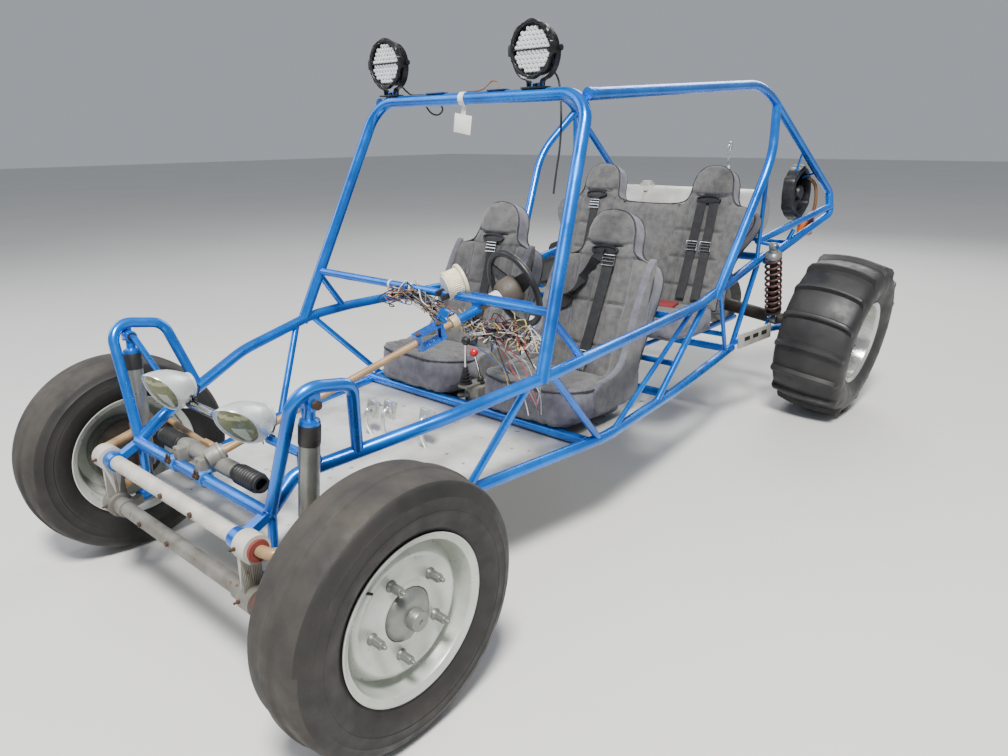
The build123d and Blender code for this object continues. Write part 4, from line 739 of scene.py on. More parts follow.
def buckle(shape, move, wide, tall, bar=0.0022):
    """A chrome frame with two cross bars, flat in its own XY plane."""
    corners = [(-wide / 2, -tall / 2), (wide / 2, -tall / 2), (wide / 2, tall / 2), (-wide / 2, tall / 2)]
    loop = [move @ Vector((x, y, 0)) for x, y in corners + corners[:2]]
    shape.tube(loop, bar, 8, False)
    for y in (-tall * 0.12, tall * 0.2):
        shape.tube([move @ Vector((-wide / 2, y, 0)), move @ Vector((wide / 2, y, 0))], bar, 8)


# Seats
SEAT_LEAN = math.radians(18)
SEAT_X = 0.287
SEAT_BASE = at(0, 1330, 455)
BACK_THICK = 0.095
HEAD_X = 0.306
BENCH_BASE = at(0, 2146, 590)


def seat_frame(base, x):
    """From a seat back's own frame: across, up along the back, and out of its face."""
    across = Vector((1, 0, 0))
    rise = Vector((0, math.sin(SEAT_LEAN), math.cos(SEAT_LEAN)))
    out = Vector((0, -math.cos(SEAT_LEAN), math.sin(SEAT_LEAN)))
    return Matrix.Translation(Vector((x, base.y, base.z))) @ Matrix((across, rise, out)).transposed().to_4x4()


def head_arch(x, grow=0.0):
    """The seam round a headrest's face, open at its slot."""
    half = [(0.106 + grow, 0.556), (0.108 + grow, 0.600), (0.090 + grow, 0.646), (0.055, 0.676 + grow),
            (0.0, 0.686 + grow)]
    chin = [(-0.106 - grow, 0.556), (-0.060, 0.543), (0.0, 0.539), (0.060, 0.543), (0.106 + grow, 0.556)]
    return [(x + a, b) for a, b in half + [(-a, b) for a, b in reversed(half[:-1])] + chin]


def slot_and_lip(side, x, move):
    """The oval harness slot under a headrest, with its moulded lip."""
    hole = [(x + 0.056 * math.cos(a), 0.521 + 0.0145 * math.sin(a)) for a in
            (2 * math.pi * k / 28 for k in range(28))]
    shape = Shape()
    shape.tube([move @ Vector((u, v, 0.010)) for u, v in hole + hole[:2]], 0.0050, 8, False)
    start = [move @ Vector((u, v, 0.0085)) for u, v in hole]
    shape.take(start, [list(range(len(start)))])
    shape.done("harness_slot_" + side, PLASTIC)


front_half = [(0.0, 0.0), (0.150, 0.002), (0.200, 0.016), (0.212, 0.120), (0.230, 0.280), (0.243, 0.380),
              (0.240, 0.445), (0.216, 0.490), (0.168, 0.512), (0.132, 0.530), (0.123, 0.566), (0.120, 0.605),
              (0.100, 0.655), (0.060, 0.688), (0.0, 0.698)]
back_outline = rounded(both_sides(front_half), 4)
inner = [(0.120, 0.498), (0.124, 0.380), (0.110, 0.180), (0.100, 0.0)]
back_seams = [head_arch(0.0), [(-a, b) for a, b in inner], inner, [(0.040, 0.480), (0.036, 0.0)],
              [(-0.040, 0.480), (-0.036, 0.0)], [(-0.124, 0.320), (0.124, 0.320)], [(-0.110, 0.150), (0.110, 0.150)],
              [(-0.240, 0.500), (-0.120, 0.500)], [(0.120, 0.500), (0.240, 0.500)]]


def back_crown(u, v):
    """The bolsters and the headrest stand proud of the middle panel."""
    bolster = 0.016 * min(max(abs(u) - 0.124, 0.0) / 0.07, 1.0) if v < 0.5 else 0.0
    head = 0.014 * max(0.0, 1.0 - (u / 0.12) ** 2) if v > 0.545 else 0.0
    return bolster + head - (0.006 if v < 0.5 and abs(u) < 0.12 else 0.0)


back_pad = pad_mesh("seat_back_left", grown(back_outline, -0.007), BACK_THICK - 0.018, 0.0058)
plump(back_pad, 0.010)
sew(back_pad, back_seams, back_crown)
back_pad.data.transform(Matrix.Translation((0, 0, -0.010)))
back_pads = {"left": back_pad, "right": twin(back_pad)}

cushion_half = [(0.0, 0.0), (0.150, 0.002), (0.206, 0.012), (0.218, 0.100), (0.220, 0.240), (0.212, 0.330),
                (0.172, 0.385), (0.090, 0.402), (0.0, 0.406)]
cushion_outline = rounded(both_sides(cushion_half), 4)
roll = [(-0.125, 0.0), (-0.140, 0.170), (-0.135, 0.265), (-0.095, 0.318), (0.0, 0.335), (0.095, 0.318),
        (0.135, 0.265), (0.140, 0.170), (0.125, 0.0)]
cushion_seams = [flowing(roll),
                 [(-0.138, 0.165), (-0.07, 0.192), (0.0, 0.200), (0.07, 0.192), (0.138, 0.165)]]


def cushion_crown(u, v):
    """A horseshoe roll round a lower middle."""
    outside = min(max(abs(u) - 0.13, 0.0) / 0.05, 1.0)
    ahead = min(max(v - 0.32, 0.0) / 0.05, 1.0)
    return 0.014 * max(outside, ahead) - 0.010 * (1.0 - max(outside, ahead))


cushion_pad = pad_mesh("seat_cushion_left", grown(cushion_outline, -0.008), 0.118, 0.0060, 12)
plump(cushion_pad, 0.012)
sew(cushion_pad, cushion_seams, cushion_crown, 0.012, 0.006)
cushion_pad.data.transform(Matrix.Translation((0, 0, -0.012)))
cushion_pads = {"left": cushion_pad, "right": twin(cushion_pad)}

# Side bolsters close the corner between a back and its cushion: behind the front axle, up
side_outline = rounded([(1130, 432), (1118, 500), (1148, 538), (1226, 546), (1286, 574), (1326, 640), (1366, 736),
                        (1418, 840), (1474, 926), (1496, 924), (1474, 820), (1436, 690), (1404, 560), (1392, 450),
                        (1290, 424)], 5)
side_local = [(FRONT_AXLE.y + back * MM, high * MM) for back, high in side_outline]
SIDE_THICK = 0.034
side_pad = pad_mesh("seat_side", side_local, SIDE_THICK, 0.0060, 8)
side_frame = Matrix(((0, 0, 1), (1, 0, 0), (0, 1, 0))).to_4x4()

for side, sign in SIDES:
    move = seat_frame(SEAT_BASE, sign * SEAT_X)
    upholster(back_pads[side], "seat_back_" + side, move)
    piping("back_piping_front_" + side, back_pads[side], back_outline, -0.004, move)
    piping("back_piping_rear_" + side, back_pads[side], back_outline, -BACK_THICK + 0.006, move)
    slot_and_lip(side, 0.0, move)
    turned = (Matrix.Translation(Vector((sign * SEAT_X, at(0, 1344, 0).y, 0.516))) @
              Matrix.Rotation(math.pi, 4, "Z") @ Matrix.Rotation(math.radians(5.5), 4, "X"))
    upholster(cushion_pads[side], "seat_cushion_" + side, turned)
    piping("cushion_piping_" + side, cushion_pads[side], cushion_outline, -0.008, turned)
    for edge in (-1, 1):
        copy = twin(side_pad)
        place = Matrix.Translation((sign * SEAT_X + edge * 0.207 + SIDE_THICK / 2, 0, 0)) @ side_frame
        upholster(copy, "seat_side_%s_%s" % (side, "outer" if edge == sign else "inner"), place)
bpy.data.objects.remove(side_pad)
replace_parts(back_pads["left"], "seat_backs")
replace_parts(cushion_pads["left"], "seat_cushions")

# Rear bench
bench_half = [(0.0, 0.0), (0.300, 0.0), (0.440, 0.004), (0.458, 0.030), (0.462, 0.200), (0.480, 0.290), (0.530, 0.370),
              (0.553, 0.425), (0.545, 0.475), (0.500, 0.506), (0.455, 0.516), (0.430, 0.532), (0.420, 0.566),
              (0.416, 0.605), (0.400, 0.655), (0.362, 0.688), (HEAD_X, 0.698), (0.250, 0.688), (0.212, 0.655),
              (0.196, 0.605), (0.192, 0.566), (0.180, 0.534), (0.150, 0.516), (0.0, 0.512)]
bench_outline = rounded(both_sides(bench_half), 3)
bench_seams = []
for sign in (-1, 1):
    bench_seams.append(head_arch(sign * HEAD_X))
    for u in (0.150, 0.208, 0.400):
        bench_seams.append([(sign * u, 0.505), (sign * u, 0.0)])
    for v in (0.375, 0.250, 0.120):
        bench_seams.append([(sign * 0.150, v), (sign * 0.400, v)])


def bench_crown(u, v):
    """Wings and headrests stand proud; the middle is a plain crowned panel."""
    wing = 0.020 * min(max(abs(u) - 0.405, 0.0) / 0.08, 1.0) if v < 0.5 else 0.0
    across = (abs(u) - HEAD_X) / 0.12
    head = 0.014 * max(0.0, 1.0 - across * across) if v > 0.545 else 0.0
    return wing + head + 0.006 * max(0.0, 1.0 - (u / 0.15) ** 2) - 0.004


bench_pad = pad_mesh("bench_back_pad", grown(bench_outline, -0.007), BACK_THICK - 0.018, 0.0068)
plump(bench_pad, 0.010)
sew(bench_pad, bench_seams, bench_crown)
bench_pad.data.transform(Matrix.Translation((0, 0, -0.010)))
bench_move = seat_frame(BENCH_BASE, 0.0)
upholster(bench_pad, "bench_back_pad", bench_move)
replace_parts(bench_pad, "bench_back")
piping("bench_piping_front", bench_pad, bench_outline, -0.004, bench_move)
piping("bench_piping_rear", bench_pad, bench_outline, -BACK_THICK + 0.006, bench_move)
for side, sign in (("rear_left", 1), ("rear_right", -1)):
    slot_and_lip(side, sign * HEAD_X, bench_move)

low_half = [(0.0, 0.0), (0.300, 0.0), (0.440, 0.004), (0.454, 0.040), (0.456, 0.280), (0.440, 0.350), (0.390, 0.372),
            (0.200, 0.378), (0.0, 0.380)]
low_outline = rounded(both_sides(low_half), 4)
low_pad = pad_mesh("bench_cushion_pad", grown(low_outline, -0.006), 0.094, 0.0068, 10)
plump(low_pad, 0.010)
sew(low_pad, [[(-0.15, 0.0), (-0.15, 0.37)], [(0.15, 0.0), (0.15, 0.37)], [(-0.45, 0.16), (0.45, 0.16)]])
low_move = (Matrix.Translation(Vector((0, at(0, 2148, 0).y, 0.618))) @ Matrix.Rotation(math.pi, 4, "Z") @
            Matrix.Rotation(math.radians(4), 4, "X"))
upholster(low_pad, "bench_cushion_pad", low_move)
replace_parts(low_pad, "bench_cushion")


def wire(name, points, radius, material, steps=6):
    """A thin lead along a smooth line."""
    return Shape().tube(flowing(points, steps), radius, 8).done(name, material, "black_rubber")


# Headlamps: bullet shells with a visor over a slanted, ribbed oval lens
FACE_W, FACE_H = 0.060, 0.073
LAMP_TAIL = Vector((-0.018, 0.100, -0.003))
# The lens's bands are painted reflections over its olive glass: pale and dark bands across it, and a whitish patch low
# in its middle.
LENS_REFLECTION_BANDS = [glass("lens_" + name, value, 0.22, 0.0) for name, value in (
    ("crown", (128, 128, 92)), ("pale", (186, 186, 140)), ("olive", (122, 126, 90)), ("patch", (186, 190, 170)),
    ("foot", (112, 114, 92)))]


def lamp_axes(slant, turn):
    """Across, up the slanted face and out of it, for a face that looks down and to the left."""
    out = Vector((math.sin(turn), -math.cos(turn), 0))
    across = Vector((math.cos(turn), math.sin(turn), 0))
    upright = Vector((0, 0, 1))
    return across, upright * math.cos(slant) + out * math.sin(slant), out * math.cos(slant) - upright * math.sin(slant)


def oval(centre, half_w, half_h, axes, visor=0.0, steps=56):
    """One oval section, its top drawn out by the visor."""
    across, rise, look = axes
    row = []
    for k in range(steps):
        turn = 2 * math.pi * k / steps
        ahead = visor * max(0.0, math.cos(turn)) ** 3
        row.append(centre + across * (half_w * math.sin(turn)) + rise * (half_h * math.cos(turn)) + look * ahead)
    return row


# share from face to tail, half width, half height, share of the slant, visor
shell_rows = [(0.050, 0.86, 0.86, 1.0, 0.000), (0.020, 0.88, 0.88, 1.0, 0.000), (0.020, 0.915, 0.915, 1.0, 0.001),
              (0.035, 0.925, 0.925, 1.0, 0.003), (0.000, 0.945, 0.945, 1.0, 0.007), (-0.012, 0.985, 0.985, 1.0, 0.009),
              (0.010, 1.01, 1.01, 1.0, 0.007), (0.12, 1.00, 0.99, 0.88, 0.003), (0.28, 0.965, 0.93, 0.68, 0),
              (0.45, 0.90, 0.85, 0.48, 0), (0.62, 0.79, 0.72, 0.30, 0), (0.78, 0.67, 0.585, 0.14, 0),
              (0.90, 0.56, 0.475, 0.04, 0), (0.905, 0.585, 0.495, 0, 0), (0.955, 0.585, 0.495, 0, 0),
              (0.962, 0.50, 0.42, 0, 0), (1.00, 0.44, 0.37, 0, 0), (1.01, 0.30, 0.25, 0, 0)]
headlamps = (("left", at(220, -70, 685), 30, 27), ("right", at(-220, -56, 674), 25, 15))
for side, face, slant, turn in headlamps:
    slant, turn = math.radians(slant), math.radians(turn)
    rows = [oval(face + LAMP_TAIL * share, FACE_W * wide, FACE_H * tall,
                 lamp_axes(slant * lean, turn * (0.4 + 0.6 * lean)), visor)
            for share, wide, tall, lean, visor in shell_rows]
    shell = Shape().rings(rows, 1).done("headlamp_shell_" + side, SHELL)
    if side == "left":
        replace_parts(shell, "headlamps")
    across, rise, look = lamp_axes(slant, turn)
    lens = Shape()
    ribs, bands = 34, 10
    verts = []
    for k in range(2 * ribs + 1):
        share = k / ribs - 1.0
        tall = FACE_H * 0.875 * math.sqrt(max(1.0 - share * share, 0.0004))
        for j in range(-bands, bands + 1):
            bulge = 0.008 * max(0.0, 1.0 - share * share - 0.8 * (j / bands) ** 2)
            verts.append(face + across * (FACE_W * 0.875 * share) + rise * (tall * j / bands) +
                         look * (bulge - 0.004 + (0.0009 if k % 2 else 0.0)))
    row = 2 * bands + 1
    lens.take(verts, [(k * row + j, k * row + j + 1, (k + 1) * row + j + 1, (k + 1) * row + j)
                      for k in range(2 * ribs) for j in range(row - 1)])
    obj = lens.done("headlamp_lens_" + side, LENS_REFLECTION_BANDS[0], "lamp_chrome", smooth=False)
    for material in LENS_REFLECTION_BANDS[1:]:
        obj.data.materials.append(material)
    # Each face takes its band of painted reflection by its height on the lens; the low middle faces take the whitish
    # patch of painted reflection.
    for polygon in obj.data.polygons:
        high = (polygon.center - face).dot(rise) / FACE_H
        wide = (polygon.center - face).dot(across) / FACE_W
        level = 0 if high > 0.56 else 1 if high > 0.36 else 2
        if high < -0.12 and abs(wide + 0.15 * high) < 0.34 - 0.3 * high * high:
            level = 3
        elif high < -0.62:
            level = 4
        polygon.material_index = level
    seat = face + LAMP_TAIL * ((at(0, 20, 0).y - face.y) / LAMP_TAIL.y)
    x = seat.x * 1000
    post = Shape().tube([at(x, 18, 622), at(x, 18, seat.z * 1000 - 24)], 0.009, 20)
    post.tube([at(x, 20, 604), at(x, 20, 634)], 0.015, 6)
    post.tube([at(x, 18, seat.z * 1000 - 32), at(x, 18, seat.z * 1000 - 26)], 0.021, 24)
    post.done("headlamp_post_" + side, CHROME)
    tail = face + LAMP_TAIL
    wire("headlamp_lead_" + side, [tail + Vector(step) for step in (
        (0, 0.000, -0.006), (-0.006, 0.026, -0.018), (-0.004, 0.016, -0.044), (0.012, -0.002, -0.054),
        (0.034, -0.008, -0.050))], 0.0028, BLACK_WIRE)
coil = [at(-214 + 30 * k / 40, 12 + 17 * math.cos(k * 0.9), 636 + 15 * math.sin(k * 0.9)) for k in range(41)]
wire("lamp_bar_coil", coil, 0.0024, BLACK_WIRE, steps=3)
Shape().tube([at(-214, 20, 618), at(-70, 20, 618)], 0.0131, 24).done("bar_sleeve", CHROME)

# Round work lamps: finned body, scalloped bezel and a honeycomb of small reflectors
def cells(pitch, reach):
    """Places on a hexagonal grid within a circle."""
    for i in range(-6, 7):
        for j in range(-6, 7):
            u, v = (i + 0.5 * (j % 2)) * pitch, (j + 0.5) * pitch * 0.866
            if math.hypot(u, v) <= reach:
                yield u, v


def bezel_section(turn):
    """A lamp's rim, scalloped eight times, with a wider tab at each side."""
    edge = 0.0855 + 0.0025 * math.cos(8 * turn)
    if abs(math.sin(turn)) > 0.978:
        edge = 0.0935
    inside = [(0.012, 0.9), (0.0145, 0.86), (0.026, 0.865), (0.030, 0.895), (0.0305, 0.95)]
    return [(0.012, edge)] + [(out, 0.0865 * share) for out, share in inside] + [(0.027, edge)]


ROOF_LAMPS = (("left", 285), ("right", -412))
for side, x in ROOF_LAMPS:
    place = spot(x, HOOP_BACK, 1631) @ Matrix(((0, -1, 0), (-1, 0, 0), (0, 0, 1))).to_4x4()
    body = Shape()
    outline = [(-0.034, AXIS), (-0.034, 0.056), (-0.030, 0.060)]
    for fin in range(5):
        out = -0.026 + fin * 0.008
        outline += [(out, 0.062), (out + 0.0005, 0.0745), (out + 0.0025, 0.0745), (out + 0.003, 0.062)]
    outline += [(0.014, 0.064), (0.016, 0.074), (0.024, 0.074), (0.024, 0.0725), (0.0165, 0.072), (0.016, AXIS)]
    body.lathe(outline, place, 72, False)
    lamp = body.done("roof_lamp_body_" + side, LAMP_BLACK)
    if side == "left":
        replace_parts(lamp, "roof_lamps")
    bezel = Shape().turned(bezel_section, 144, place)
    for k in range(8):
        turn = 2 * math.pi * (k + 0.5) / 8
        screw = place @ Matrix.Translation((0.0, 0.0805 * math.sin(turn), 0.0805 * math.cos(turn)))
        bezel.lathe([(0.028, AXIS), (0.028, 0.0032), (0.0315, 0.0032), (0.0318, AXIS)], screw, 10)
    bezel.done("roof_lamp_bezel_" + side, LAMP_BLACK)
    optics = Shape()
    for u, v in cells(0.0158, 0.0685):
        rings = []
        for out, radius in ((0.0170, 0.0088), (0.0190, 0.0084), (0.0222, 0.0066), (0.0242, 0.0040), (0.0249, 0.0014)):
            rings.append([place @ Vector((out, u + radius * math.sin(a), v + radius * math.cos(a)))
                          for a in (math.pi / 3 * m for m in range(6))])
        optics.rings(rings, 1)
    optics.done("roof_lamp_cells_" + side, REFLECTOR, smooth=False)
    trim = Shape().block((0.006, 0.142, 0.0036), place @ Matrix.Translation((0.024, 0, 0)), 0.0008)
    foot = at(x, HOOP_BACK, 1519)
    trim.block((0.100, 0.034, 0.006), Matrix.Translation(foot + Vector((0, 0, 0.0005))), 0.001)
    for edge in (-1, 1):
        strip = [foot + Vector((edge * share, 0, high)) for share, high in (
            (0.026, 0.002), (0.030, 0.022), (0.052, 0.031), (0.074, 0.052), (0.0865, 0.084), (0.088, 0.118))]
        strap(trim, flowing(strip, 4), 0.024, (0, 1, 0), 0.004)
        bolt = spot(x + edge * 82, HOOP_BACK, 1631) @ Matrix.Diagonal((edge, 1, 1, 1))
        trim.lathe([(-0.012, AXIS), (-0.012, 0.006), (0.013, 0.006), (0.013, 0.0095), (0.020, 0.0095),
                    (0.021, AXIS)], bolt, 6)
    trim.lathe(head(0.011, 0.010), Matrix.Translation(foot + Vector((0, 0, 0.002))) @ UPWARD, 6)
    trim.done("roof_lamp_bracket_" + side, LAMP_BLACK)
    Shape().block((0.060, 0.008, 0.036), spot(x, HOOP_BACK, 1516), 0.002).done("lamp_tab_" + side, BLUE)

# Weld sleeves where the roof rails meet the hoop's bends
sleeves = Shape()
for sign in (1, -1):
    sleeves.tube([at(sign * 484, 1052, 1494), at(sign * 488, 1090, 1495)], 0.0196, 28)
sleeves.done("roof_rail_sleeves", BLUE)

# Right lamp's lead runs along the hoop and hangs in one small loop between its clips
wire("lamp_lead_right", [at(-396, 1084, 1560), at(-380, 1100, 1535), at(-330, 1084, 1520), at(-256, 1080, 1516),
                         at(-262, 1084, 1484), at(-236, 1086, 1455), at(-200, 1086, 1448), at(-172, 1082, 1466),
                         at(-178, 1072, 1494), at(-150, 1060, 1522)], 0.0032, BLACK_WIRE)
wire("hoop_lead_brown", [at(130, HOOP_BACK, 1521), at(112, 1072, 1524), at(96, 1082, 1546), at(70, 1080, 1550),
                         at(48, 1066, 1528), at(20, 1054, 1520), at(-30, 1052, 1520)], 0.0024, BROWN_WIRE)
tabs = Shape()
for x, wide in ((-167, 0.090), (124, 0.078)):
    tabs.block((wide, 0.030, 0.005), spot(x, HOOP_BACK, 1519), 0.0015)
tabs.done("hoop_tabs", DEEP_BLUE)
tag = Shape()
tag.lathe(band(0.012, 0.0212, 0.0228), spot(-32, HOOP_BACK, 1497), 40)
tag.block((0.020, 0.0012, 0.040), spot(-36, HOOP_BACK, 1462) @ Matrix.Rotation(0.12, 4, "Y"))
tag.block((0.082, 0.0014, 0.064), spot(-43, HOOP_BACK, 1414) @ Matrix.Rotation(0.16, 4, "Y"), 0.0005)
tag.done("blank_tag", WHITE)

# Rear coil-overs: a dark red spring round the damper
for side, sign in SIDES:
    foot, top = at(sign * 544, 2604, 506), at(sign * 578, 2424, 885)
    place = aim(foot, top - foot)
    length = (top - foot).length
    spring = Shape()
    turns, start, end = 9, 0.062, length - 0.060
    line = []
    for k in range(turns * 20 + 1):
        share = k / (turns * 20)
        turn = 2 * math.pi * turns * share
        line.append(place @ Vector((start + (end - start) * share, 0.0345 * math.cos(turn), 0.0345 * math.sin(turn))))
    spring.tube(line, 0.0058, 10)
    obj = spring.done("rear_spring_" + side, SPRING)
    if side == "left":
        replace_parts(obj, "coil_overs")
    damper = Shape().lathe([(0.0, AXIS), (0.0, 0.010), (0.052, 0.010), (0.052, 0.038), (0.058, 0.0385),
                            (0.060, 0.026), (0.19, 0.025), (0.192, 0.018), (length - 0.05, 0.017),
                            (length - 0.05, AXIS)], place, 40)
    damper.done("rear_damper_" + side, DARK)
    crown = Shape().lathe([(length - back, radius) for back, radius in (
        (0.056, AXIS), (0.056, 0.037), (0.048, 0.039), (0.040, 0.036), (0.030, 0.020), (0.012, 0.018),
        (0.010, AXIS))], place, 40)
    for end_place in (foot, top):
        crown.lathe(eye(0.015, 0.008), Matrix.Translation(end_place), 32)
    crown.done("rear_spring_cap_" + side, SILVER, "shock_silver")

# Front shocks: blue cap and eye, a black band and a satin body
for side, sign in SIDES:
    foot, top = at(sign * 432, -44, 322), at(sign * 472, -18, 792)
    place = aim(foot, top - foot)
    length = (top - foot).length
    body = Shape().lathe([(0.012, AXIS), (0.012, 0.011), (0.052, 0.0115), (0.054, 0.020), (0.060, 0.0235),
                          (0.168, 0.0240), (0.170, 0.0248), (0.176, 0.0248), (0.178, 0.0255), (length - 0.102, 0.0255),
                          (length - 0.102, AXIS)], place, 48)
    obj = body.done("front_shock_" + side, SILVER, "shock_silver")
    if side == "left":
        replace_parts(obj, "front_shocks")
    sleeve = Shape().lathe([(length - back, radius) for back, radius in (
        (0.104, 0.020), (0.104, 0.0262), (0.101, 0.0270), (0.056, 0.0270), (0.053, 0.0262), (0.053, 0.020))], place, 48)
    sleeve.done("front_shock_band_" + side, BLACK_RUBBER)
    cap = Shape().lathe([(length - back, radius) for back, radius in (
        (0.058, AXIS), (0.058, 0.0250), (0.047, 0.0256), (0.042, 0.0235), (0.038, 0.014), (0.010, 0.013),
        (0.008, AXIS))], place, 48)
    cap.lathe(eye(0.018, 0.010), Matrix.Translation(top), 40)
    cap.done("front_shock_cap_" + side, BLUE)
    bush = Shape()
    for end_place in (foot, top):
        bush.lathe(band(0.019, 0.0075, 0.0135), Matrix.Translation(end_place), 32)
    bush.lathe(band(0.015, 0.012, 0.0175), Matrix.Translation(foot), 32)
    bush.done("front_shock_bushes_" + side, BLACK_RUBBER)
    nut_place = Matrix.Translation(top + Vector((sign * 0.024, 0, 0))) @ Matrix.Diagonal((sign, 1, 1, 1))
    Shape().lathe(head(0.0125, 0.009), nut_place, 6).done("front_shock_nut_" + side, RUST)

# Front beam: seals, nipples, bolts and the brackets on the nose tube
seals, nipples = Shape(), Shape()
for sign in (1, -1):
    flip = Matrix.Diagonal((sign, 1, 1, 1))
    for half, high in ((426, 455), (412, 305)):
        end_place = spot(sign * half, -168, high) @ flip
        seals.lathe([(0, 0.016), (0, 0.0275), (0.004, 0.0290), (0.009, 0.0275), (0.010, 0.016)], end_place, 48)
        nipples.lathe([(0, AXIS), (0, 0.005), (0.006, 0.005), (0.008, 0.003), (0.014, 0.0034), (0.016, AXIS)],
                      spot(sign * (half - 36), -204, high + 6) @ FORWARD, 12)
for x, high in ((-12, 455), (-22, 305), (150, 455), (-190, 305)):
    nipples.lathe(head(0.009, 0.007), spot(x, -188, high + 4) @ FORWARD, 6)
seals.done("beam_seals", SEAL, "black_rubber")
nipples.done("beam_bolts", RUST)
saddles, saddle_studs = Shape(), Shape()
for x in (-118, 42):
    place = spot(x, -90, 491)
    saddles.lathe(band(0.014, 0.0182, 0.0225), place, 40)
    saddles.block((0.028, 0.046, 0.008), spot(x, -64, 512) @ Matrix.Rotation(0.35, 4, "X"), 0.001)
    for step in (-7, 8):
        saddle_studs.lathe([(-0.006, AXIS), (-0.006, 0.0062), (0.004, 0.0062), (0.004, 0.0035), (0.020, 0.0035),
                            (0.021, AXIS)], spot(x + step, -112, 506) @ Matrix.Rotation(-1.2, 4, "Y"), 6)
saddles.done("nose_saddles", FADED)
saddle_studs.done("nose_saddle_studs", RUST)

# Steering rack: saddle clamps, pinion tower and folded bellows
rack = Shape()
rack_place = spot(0, -46, 526)
rack.lathe([(-0.150, AXIS), (-0.150, 0.021), (-0.140, 0.0235), (-0.118, 0.0235), (-0.116, 0.0270), (-0.080, 0.0270),
            (-0.078, 0.0230), (-0.020, 0.0222), (0.004, 0.0228), (0.006, 0.0275), (0.044, 0.0275), (0.046, 0.0235),
            (0.130, 0.0240), (0.140, 0.0225), (0.150, 0.021), (0.150, AXIS)], rack_place, 56)
rack.lathe([(-0.052, AXIS), (-0.052, 0.0245), (-0.040, 0.0268), (-0.018, 0.0268), (-0.016, 0.0300), (-0.008, 0.0300),
            (-0.006, 0.0220), (-0.001, 0.0215), (-0.001, AXIS)], aim(pinion, steer_dir), 40)
for x in (-98, 25):
    rack.block((0.036, 0.060, 0.050), spot(x, -66, 521), 0.006)
    for z in (504, 542):
        rack.lathe(head(0.007, 0.008), spot(x, -96, z) @ Matrix.Rotation(math.pi / 2, 4, "Z"), 6)
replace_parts(rack.done("rack_casting", CAST), "rack_housing")
folds = Shape()
for sign in (1, -1):
    outline = [(0.148, 0.020), (0.148, 0.0245), (0.156, 0.0245), (0.157, 0.0215)]
    for fold in range(8):
        out = 0.160 + fold * 0.0118
        outline += [(out, 0.0205), (out + 0.0035, 0.0275), (out + 0.0055, 0.0280), (out + 0.0080, 0.0265),
                    (out + 0.0105, 0.0205)]
    outline += [(0.256, 0.0215), (0.258, 0.0235), (0.264, 0.0235), (0.264, 0.0170), (0.240, 0.0165), (0.240, AXIS)]
    folds.lathe(outline, rack_place @ Matrix.Diagonal((sign, 1, 1, 1)), 48, False)
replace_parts(folds.done("rack_folds", BLACK_RUBBER), "rack_bellows")
tie_place = spot(-550, 86, 470) @ Matrix.Rotation(math.pi / 2, 4, "Y")
tie_ball = Shape().lathe(ball(0.019, 165, 10, 15, 0.020), tie_place, 32)
tie_ball.done("tie_ball", BLACK_RUBBER, body="tie_rod")

# Steering wheel: padded ring, three spokes, the pod and its pale bellows
SPOKE_TURN = 0.50              # share of a third of a turn
wheel_hub = at(300, 922, 889)
RING_R = 0.128
GRIP_R = 0.0112
wheel_place = aim(wheel_hub, steer_dir)
grip = Shape()
ring_line = [wheel_place @ Vector((0, RING_R * math.cos(a), RING_R * math.sin(a)))
             for a in (2 * math.pi * k / 96 for k in range(98))]
grip.tube(ring_line, GRIP_R, 18, False)
bright_spoke = Shape()
for k, near_half, far_half in ((0, 0.030, 0.022), (1, 0.018, 0.011), (2, 0.030, 0.020)):
    spin = wheel_place @ Matrix.Rotation(2 * math.pi * (k + SPOKE_TURN) / 3, 4, "X")
    plate = [(0.004, -near_half, 0.030), (0.004, near_half, 0.030), (0.004, far_half, 0.122), (0.004, -far_half, 0.122)]
    (bright_spoke if k == 1 else grip).slab(plate, 0.006, spin)
    if k == 1:
        bright_spoke.lathe([(-0.004, 0.0045), (-0.004, 0.0080), (0.006, 0.0080), (0.006, 0.0045)],
                           spin @ Matrix.Translation((0, 0, 0.080)), 20)
bright_spoke.done("steering_spoke", SILVER, "black_plastic", "steering")
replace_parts(grip.done("steering_grip", PLASTIC, body="steering"), "steering_wheel")
pod = Shape().lathe([(-0.066, AXIS), (-0.066, 0.031), (-0.062, 0.034), (-0.052, 0.043), (-0.034, 0.049),
                     (-0.004, 0.051), (0.006, 0.049), (0.012, 0.040), (0.013, 0.022), (0.014, AXIS)], wheel_place, 56)
pod.done("steering_pod", POD, body="steering")
outline = [(-0.112, 0.012), (-0.112, 0.020), (-0.108, 0.022)]
for fold in range(4):
    out = -0.106 + fold * 0.0105
    outline += [(out, 0.0225), (out + 0.004, 0.0275), (out + 0.0065, 0.0275), (out + 0.0095, 0.0225)]
outline += [(-0.062, 0.024), (-0.062, 0.012)]
Shape().lathe(outline, wheel_place, 48).done("steering_bellows", WHITE, body="steering")
collar = Shape().lathe([(0.772, 0.0125), (0.772, 0.021), (0.778, 0.0225), (0.792, 0.0225), (0.797, 0.021),
                        (0.797, 0.0125)], aim(pinion, steer_dir), 36)
collar.done("column_collar", PALE_TAN, body="steering")
yoke_bolts = Shape()
for along in (0.650, 0.726):
    yoke_bolts.lathe([(-0.036, AXIS), (-0.036, 0.008), (-0.028, 0.008), (-0.028, 0.005), (0.028, 0.005),
                      (0.028, 0.008), (0.034, 0.008), (0.034, AXIS)],
                     aim(pinion + steer_dir * along, Vector((0.3, -0.4, 0.86))), 12)
yoke_bolts.done("yoke_bolts", RUST, body="steering")

# Gauge in its fluted can, facing the driver
gauge_place = aim(at(150, 790, 908), (0.42, 0.86, 0.28))
FLUTES = 44


